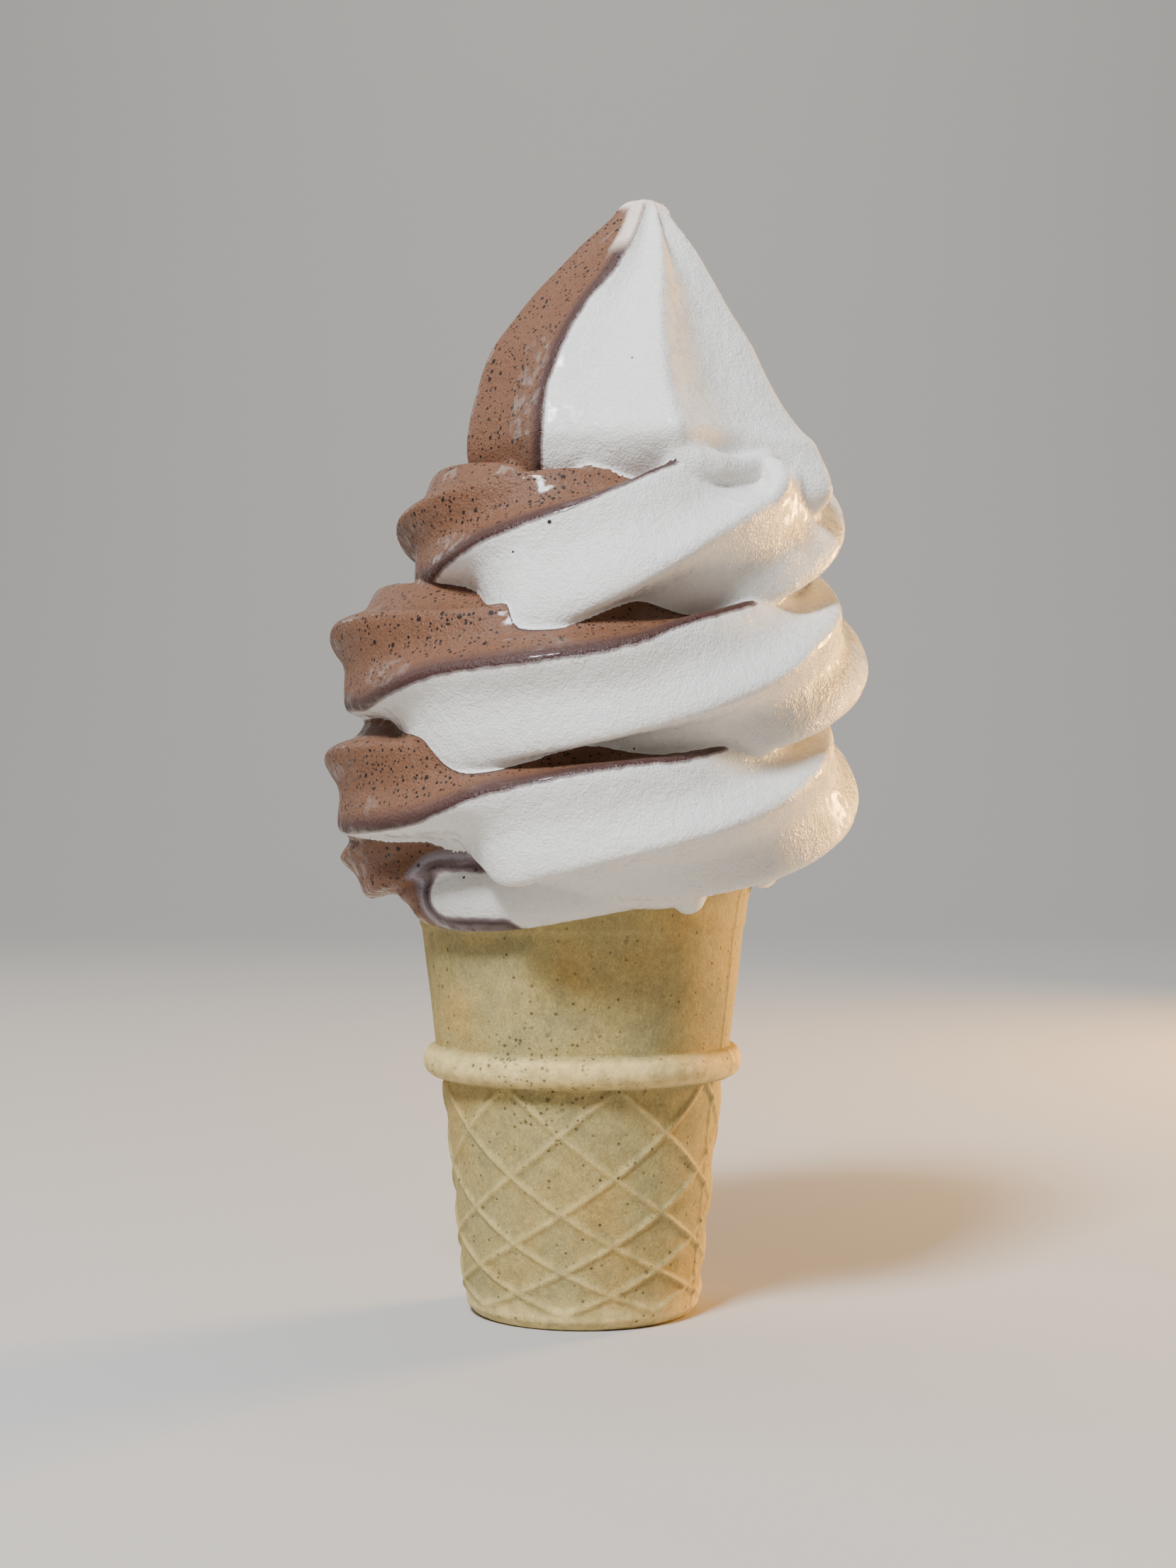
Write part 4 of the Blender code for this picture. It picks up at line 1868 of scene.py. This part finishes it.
@dataclass
class Swirl:
    """The soft serve: the coiled rope, its peak and what fills the cup, in one skin.

    Attributes:
        rim_height: height of the cone's rim.
        cup: height and radius of the cup's inside, in millimetres.
        plug_rise: how far above the rim the filling goes on, hidden by the rope, in millimetres.
        plug_radius: its radius there, in millimetres.
        voxel: how finely the rope, the peak and the plug are blended into one skin.
        most_faces: the most triangles that the skin keeps.
        tongue: the rope's blunt end along the rim: azimuth, distance out, height and size.
        fold: the roll of cream that folds off the peak's front crest.
        lip: its upturned end at the right.
        soft_spots: places where creases have melted together.
        lumps: beads that hang over the rim.
        peak_from: height in millimetres above which skin may belong to the peak.
        peak_only: height in millimetres above which it always does.
        smear: drops from the point over which the first pull of vanilla fades in, in millimetres.
        smear_middle: distance from the meeting line to the smear's middle, in millimetres.
        smear_edge: where the smear starts to fade and where it is gone, in millimetres.
        capped: drops from the point over which vanilla covers everything, in millimetres.
        rope: the coiled rope.
        peak: the last pull.
        plug_rings: sections of the filling.
        round_steps: points round a section of it.
        even_passes: smoothing of the whole skin.
        melt_passes: smoothing where it has melted.
        barely_melted: share melted below which a place is left alone.
        lumpiness: how far the skin strays from even.
        lump_size: width of those waves.
        lump_reach: heights over which they start, from the rim.
        folded_end: flavours at the rope's first end.
        finish: the cream's material.
    """

    FLAVOUR = "flavour"
    TIP = "tip"
    FOLD = "fold"

    rim_height: float
    rope: Rope = field(default_factory=Rope)
    peak: Peak = field(default_factory=Peak)
    cup: tuple[tuple[float, float], ...] = ((2.6, 16.4), (38.2, 20.4), (43.4, 21.8), (70.0, 25.3))
    plug_rise: float = 8.0
    plug_radius: float = 25.5
    plug_rings: int = 40
    round_steps: int = 96
    voxel: float = 0.5 * MM
    most_faces: int = 190_000
    even_passes: int = 1
    melt_passes: int = 10
    barely_melted: float = 0.02
    lumpiness: float = 0.22 * MM
    lump_size: float = 9.0 * MM
    lump_reach: tuple[float, float] = (-6.0 * MM, 2.0 * MM)
    peak_from: float = 128.0
    peak_only: float = 150.0
    smear: tuple[float, float] = (11.0, 7.0)
    smear_middle: float = 1.2
    smear_edge: tuple[float, float] = (0.9, 2.4)
    capped: tuple[float, float] = (1.8, 0.6)
    tongue: tuple[tuple[float, float, float, float], ...] = (
        (214.0, 27.7, 68.6, 5.4),
        (228.0, 27.9, 68.3, 5.7),
        (242.0, 28.0, 68.0, 5.2),
        (256.0, 28.0, 67.8, 4.2),
        (270.0, 27.8, 68.0, 3.2),
        (284.0, 27.3, 68.6, 2.6),
        (298.0, 26.8, 69.0, 2.2),
    )
    fold: Roll = Roll(
        (
            (13.6, -26.0, 141.0, 2.4),
            (14.1, -28.5, 136.9, 2.9),
            (16.2, -28.6, 134.6, 3.0),
            (19.5, -27.5, 133.8, 2.9),
            (22.9, -25.0, 133.6, 2.5),
            (25.8, -22.0, 134.6, 2.1),
            (29.0, -19.0, 136.0, 1.7),
        )
    )
    lip: Roll = Roll(
        (
            (25.2, -28.2, 125.5, 1.0),
            (28.8, -26.6, 128.8, 1.5),
            (30.6, -24.4, 132.0, 1.9),
            (30.0, -22.0, 134.0, 2.0),
            (27.8, -20.8, 134.9, 1.7),
            (25.2, -20.4, 135.0, 1.3),
        )
    )
    soft_spots: tuple[SoftSpot, ...] = (
        SoftSpot((15.0, -29.0, 136.0), 9.0),
        SoftSpot((25.0, -25.0, 134.0), 10.0),
        SoftSpot((31.0, -20.0, 133.0), 11.0),
        SoftSpot((36.0, -13.0, 130.0), 9.0),
        SoftSpot((-20.0, -22.0, 67.0), 9.0),
        SoftSpot((-36.0, -6.0, 71.0), 10.0),
        SoftSpot((2.0, -29.0, 68.0), 13.0),
        SoftSpot((25.0, -20.0, 70.0), 13.0),
    )
    lumps: tuple[Lump, ...] = (
        Lump(211.0, 30.4, 69.6, (3.2, 3.8, 3.2)),
        Lump(306.0, 27.9, 68.2, (2.4, 3.0, 2.9)),
        Lump(296.0, 27.9, 69.2, (2.2, 4.6, 2.9)),
        Lump(282.0, 28.2, 69.2, (2.2, 5.0, 3.0)),
        Lump(315.0, 28.2, 71.4, (2.8, 3.2, 3.0)),
        Lump(337.0, 31.0, 73.0, (3.2, 3.2, 3.6)),
        Lump(346.0, 31.4, 73.6, (3.2, 3.4, 3.4)),
    )
    folded_end: FoldedEnd = field(default_factory=FoldedEnd)
    finish: TwistSoftServe = field(default_factory=TwistSoftServe)

    def tongue_roll(self) -> Roll:
        """The rope's blunt end, laid along the rim.

        Returns:
            The roll, with its rim stations turned into places.
        """
        path = tuple(
            (out * math.cos(math.radians(azimuth)), out * math.sin(math.radians(azimuth)), height, size)
            for azimuth, out, height, size in self.tongue
        )
        return Roll(path, flatten=0.8)

    def filling(self, shape: bmesh.types.BMesh) -> None:
        """Add what fills the cup: a plug from its floor to above the rim.

        Args:
            shape: the bmesh to add it to.
        """
        turn = np.linspace(0.0, 2.0 * math.pi, self.round_steps, endpoint=False)
        top = self.rim_height / MM + self.plug_rise
        stations = Track((*self.cup, (top, self.plug_radius)))
        rings = []
        for height in np.linspace(stations.first, stations.last, self.plug_rings):
            radius = float(stations.at(height))
            ring = [radius * np.cos(turn), radius * np.sin(turn), np.full(self.round_steps, height)]
            rings.append(np.stack(ring, -1) * MM)
        extrude_rings(shape, rings)

    def add_lumps(self, shape: bmesh.types.BMesh) -> None:
        """Add the beads that hang over the rim.

        Args:
            shape: the bmesh to add them to.
        """
        for lump in self.lumps:
            turn = math.radians(lump.azimuth)
            place = Vector((lump.out * math.cos(turn), lump.out * math.sin(turn), lump.height)) * MM
            size = Matrix.Diagonal((*(side * MM for side in lump.size), 1.0))
            matrix = Matrix.Translation(place) @ Matrix.Rotation(turn, 4, "Z") @ size
            bmesh.ops.create_uvsphere(shape, u_segments=24, v_segments=16, radius=1.0, matrix=matrix)

    def skin(self) -> bpy.types.Mesh:
        """Join the rope, the peak, the filling and the beads into one closed skin.

        Returns:
            The joined mesh.
        """
        shape = bmesh.new()
        extrude_rings(shape, self.rope.rings())
        extrude_rings(shape, self.peak.rings())
        for roll in (self.tongue_roll(), self.fold, self.lip):
            extrude_rings(shape, roll.rings())
        self.filling(shape)
        self.add_lumps(shape)
        rough = link("swirl_rough", mesh_from("swirl_rough", shape))
        blend = rough.modifiers.new("blend", "REMESH")
        blend.mode = "VOXEL"
        blend.voxel_size = self.voxel
        self._apply(rough)
        melted = rough.vertex_groups.new(name="melted")
        weights = self._melted(points_of(rough.data))
        for index in np.nonzero(weights > self.barely_melted)[0].tolist():
            melted.add([index], float(weights[index]), "REPLACE")
        even = rough.modifiers.new("even", "SMOOTH")
        even.factor = 0.5
        even.iterations = self.even_passes
        melt = rough.modifiers.new("melt", "SMOOTH")
        melt.factor = 0.5
        melt.iterations = self.melt_passes
        melt.vertex_group = melted.name
        faces = 2 * len(rough.data.polygons)
        log.info("blended skin: %d triangles", faces)
        if faces > self.most_faces:
            thin = rough.modifiers.new("thin", "DECIMATE")
            thin.ratio = self.most_faces / faces
        self._apply(rough)
        fine = rough.data
        bpy.data.objects.remove(rough)
        return fine

    def _apply(self, piece: bpy.types.Object) -> None:
        """Put a piece's modifiers into its mesh.

        Args:
            piece: the object, whose modifiers are used up.
        """
        bpy.context.view_layer.update()
        shaped = piece.evaluated_get(bpy.context.evaluated_depsgraph_get())
        done = bpy.data.meshes.new_from_object(shaped)
        piece.modifiers.clear()
        piece.data = done

    def _melted(self, places: np.ndarray) -> np.ndarray:
        """How melted the cream is.

        Args:
            places: rows of x, y and z.

        Returns:
            The share melted at each, from 0 to 1.
        """
        found = np.zeros(len(places))
        for spot in self.soft_spots:
            away = np.linalg.norm(places / MM - np.array(spot.place), axis=1)
            found = np.maximum(found, 1.0 - eased(away, 0.5 * spot.reach, spot.reach))
        return found

    def flavours(self, places: np.ndarray) -> tuple[np.ndarray, np.ndarray, np.ndarray]:
        """Signed distance of each point from the line where the flavours meet.

        Args:
            places: rows of x, y and z.

        Returns:
            The distance in metres, above 0 in the chocolate; how near the tip is; how near the folded end is.
        """
        coil, away, on_rope = self.rope.locate(places)
        turn, on_peak = self.peak.locate(places)
        height = places[:, 2] / MM
        on_top = (on_peak < on_rope) | (height > self.peak_only)
        on_top &= height > self.peak_from
        above = np.radians(self.peak.lobes.side(turn, height)) * self.peak.outline.at(height) * MM
        away = np.where(on_top, above, away)
        away, fold = self.folded_end.flavour(places, coil, away)
        rise = height - self.peak.outline.last
        near_line = 1.0 - eased(np.abs(away / MM - self.smear_middle), *self.smear_edge)
        smear = eased(rise, -self.smear[0], -self.smear[1]) * near_line
        tip = np.maximum(smear, eased(rise, -self.capped[0], -self.capped[1]))
        return away, tip * on_top, fold

    def build(self) -> bpy.types.Object:
        """Make the skin, give it its flavours and its slight unevenness.

        Returns:
            The swirl piece.
        """
        mesh = self.skin()
        mesh.name = "soft_serve_swirl"
        places = points_of(mesh)
        away, tip, fold = self.flavours(places)
        normals = np.empty(len(mesh.vertices) * 3)
        mesh.vertices.foreach_get("normal", normals)
        normals = normals.reshape(-1, 3)
        waves = np.array([noise.noise(Vector(point) / self.lump_size) for point in places.tolist()])
        lift = self.lumpiness * waves * eased(places[:, 2] - self.rim_height, *self.lump_reach)
        set_points(mesh, places + normals * lift[:, None])
        for name, values in ((self.FLAVOUR, away), (self.TIP, tip), (self.FOLD, fold)):
            layer = mesh.attributes.new(name, "FLOAT", "POINT")
            layer.data.foreach_set("value", values.astype(np.float32))
        mesh.shade_smooth()
        mesh.materials.clear()
        mesh.materials.append(self.finish.material())
        piece = link("soft_serve_swirl", mesh)
        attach(piece, BODY)
        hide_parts(Node.SWIRL.value)
        return piece


# ---------------------------------------------------------------- the studio


@dataclass(frozen=True)
class SoftBox:
    """A large soft light aimed at a point.

    Attributes:
        name: the light's name.
        place: its middle.
        size: its width.
        power: its strength in watts.
        colour: its colour.
        aim: the point it faces.
    """

    name: str
    place: tuple[float, float, float]
    size: float
    power: float
    colour: str
    aim: tuple[float, float, float] | None = None

    def build(self, target: Vector) -> None:
        """Hang the light and aim it, at the target unless it has its own."""
        target = Vector(self.aim) if self.aim else target
        lamp = bpy.data.lights.new(self.name, "AREA")
        lamp.shape = "SQUARE"
        lamp.size = self.size
        lamp.energy = self.power
        lamp.color = linear(self.colour)[:3]
        holder = bpy.data.objects.new(self.name, lamp)
        holder.location = self.place
        holder.rotation_euler = (target - Vector(self.place)).to_track_quat("-Z", "Y").to_euler()
        bpy.context.scene.collection.objects.link(holder)


@dataclass(frozen=True)
class PaperSweep:
    """Floor and backdrop in one sheet of paper, curved where they meet.

    Attributes:
        half_width: half the width of the sheet.
        front: depth of its front edge.
        bend_from: depth at which it starts to curve up.
        bend: radius of the curve.
        bend_steps: faces over the curve.
        top: height of its upper edge.
        finish: the paper's material.
    """

    half_width: float = 4.0
    front: float = -3.0
    bend_from: float = 1.2
    bend: float = 1.0
    bend_steps: int = 12
    top: float = 4.0
    finish: StudioPaper = field(default_factory=StudioPaper)

    def build(self) -> bpy.types.Object:
        """Lay the sheet by extruding its front edge back and up.

        Returns:
            The sheet.
        """
        shape = bmesh.new()
        ends = [shape.verts.new((side * self.half_width, self.front, 0.0)) for side in (-1.0, 1.0)]
        edges = [shape.edges.new(ends)]
        turns = [0.5 * math.pi * step / self.bend_steps for step in range(self.bend_steps + 1)]
        line = [
            (self.bend_from + self.bend * math.sin(turn), self.bend * (1.0 - math.cos(turn)))
            for turn in turns
        ]
        for depth, height in [*line, (self.bend_from + self.bend, self.top)]:
            grown = bmesh.ops.extrude_edge_only(shape, edges=edges)["geom"]
            fresh = {item for item in grown if isinstance(item, bmesh.types.BMVert)}
            for vert in fresh:
                vert.co.y = depth
                vert.co.z = height
            lines = [item for item in grown if isinstance(item, bmesh.types.BMEdge)]
            edges = [item for item in lines if fresh.issuperset(item.verts)]
        mesh = mesh_from("paper_sweep", shape)
        mesh.shade_smooth()
        mesh.materials.append(self.finish.material())
        sheet = link("paper_sweep", mesh)
        sheet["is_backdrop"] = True
        return sheet


@dataclass
class Studio:
    """Paper sweep, soft lights and the camera.

    Attributes:
        lights: the soft lights.
        world_colour: colour of the room's light.
        world_strength: its strength.
        camera_distance: distance of the camera in front of the cone.
        camera_height: height of the camera.
        camera_aside: how far it stands to the right.
        camera_pitch: how far it looks up or down.
        lens: focal length in millimetres.
        sensor: width of the film in millimetres.
        nearest: nearest distance drawn.
        paper: floor and backdrop.
    """

    lights: tuple[SoftBox, ...] = (
        SoftBox("key_upper_left", (-0.26, -0.60, 0.80), 0.20, 18.5, "#F2F7FF"),
        SoftBox("fill_front_right", (0.80, -0.70, 0.20), 0.70, 0.45, "#FFE3BC"),
        SoftBox("warm_back_right", (0.52, 0.38, 0.16), 0.18, 11.0, "#FFC36A"),
        SoftBox("back_left", (-0.55, 0.50, 0.45), 0.35, 0.8, "#FFFFFF"),
        SoftBox("backdrop", (0.0, 0.6, 1.6), 1.0, 26.0, "#FFFFFF", aim=(0.0, 2.2, 0.5)),
    )
    world_colour: str = "#E6ECF2"
    world_strength: float = 0.10
    camera_distance: float = 385.0 * MM
    camera_height: float = 80.7 * MM
    camera_aside: float = 0.87 * MM
    camera_pitch: float = math.radians(0.763)
    lens: float = 53.8
    sensor: float = 36.0
    nearest: float = 0.01
    paper: PaperSweep = field(default_factory=PaperSweep)

    def camera(self) -> None:
        """Set the camera level with the cone's collar, a little to its right."""
        lens = bpy.data.cameras.new("camera")
        lens.lens = self.lens
        lens.sensor_width = self.sensor
        lens.clip_start = self.nearest
        holder = bpy.data.objects.new("camera", lens)
        holder.location = (self.camera_aside, -self.camera_distance, self.camera_height)
        holder.rotation_euler = (0.5 * math.pi + self.camera_pitch, 0.0, 0.0)
        bpy.context.scene.collection.objects.link(holder)
        bpy.context.scene.camera = holder

    def build(self, target: Vector) -> None:
        """Lay the paper, hang the lights and set the camera."""
        self.paper.build()
        for light in self.lights:
            light.build(target)
        self.camera()
        world = bpy.data.worlds.new("soft_room")
        world.use_nodes = True
        background = world.node_tree.nodes["Background"]
        background.inputs["Color"].default_value = linear(self.world_colour)
        background.inputs["Strength"].default_value = self.world_strength
        bpy.context.scene.world = world


def plain(box: tuple) -> list[list[float]]:
    """Turn a box's two corners into plain lists of numbers."""
    return [[float(side) for side in corner] for corner in box]


def main() -> None:
    """Build the wafer, the swirl and the studio in order."""
    logging.basicConfig(level=logging.INFO, format="%(name)s: %(message)s")
    cad_box = plain(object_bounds())
    low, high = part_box(Node.WAFER.value)
    wafer = WaferCone(height=high[2] - low[2], collar_radius=high[0])
    piece = wafer.build()
    log.info("%s: %d faces", piece.name, len(piece.data.polygons))
    swirl = Swirl(rim_height=wafer.height)
    piece = swirl.build()
    log.info("%s: %d faces", piece.name, len(piece.data.polygons))
    middle = Vector([0.5 * (a + b) for a, b in zip(*cad_box)])
    Studio().build(middle)


if __name__ == "__main__":
    main()
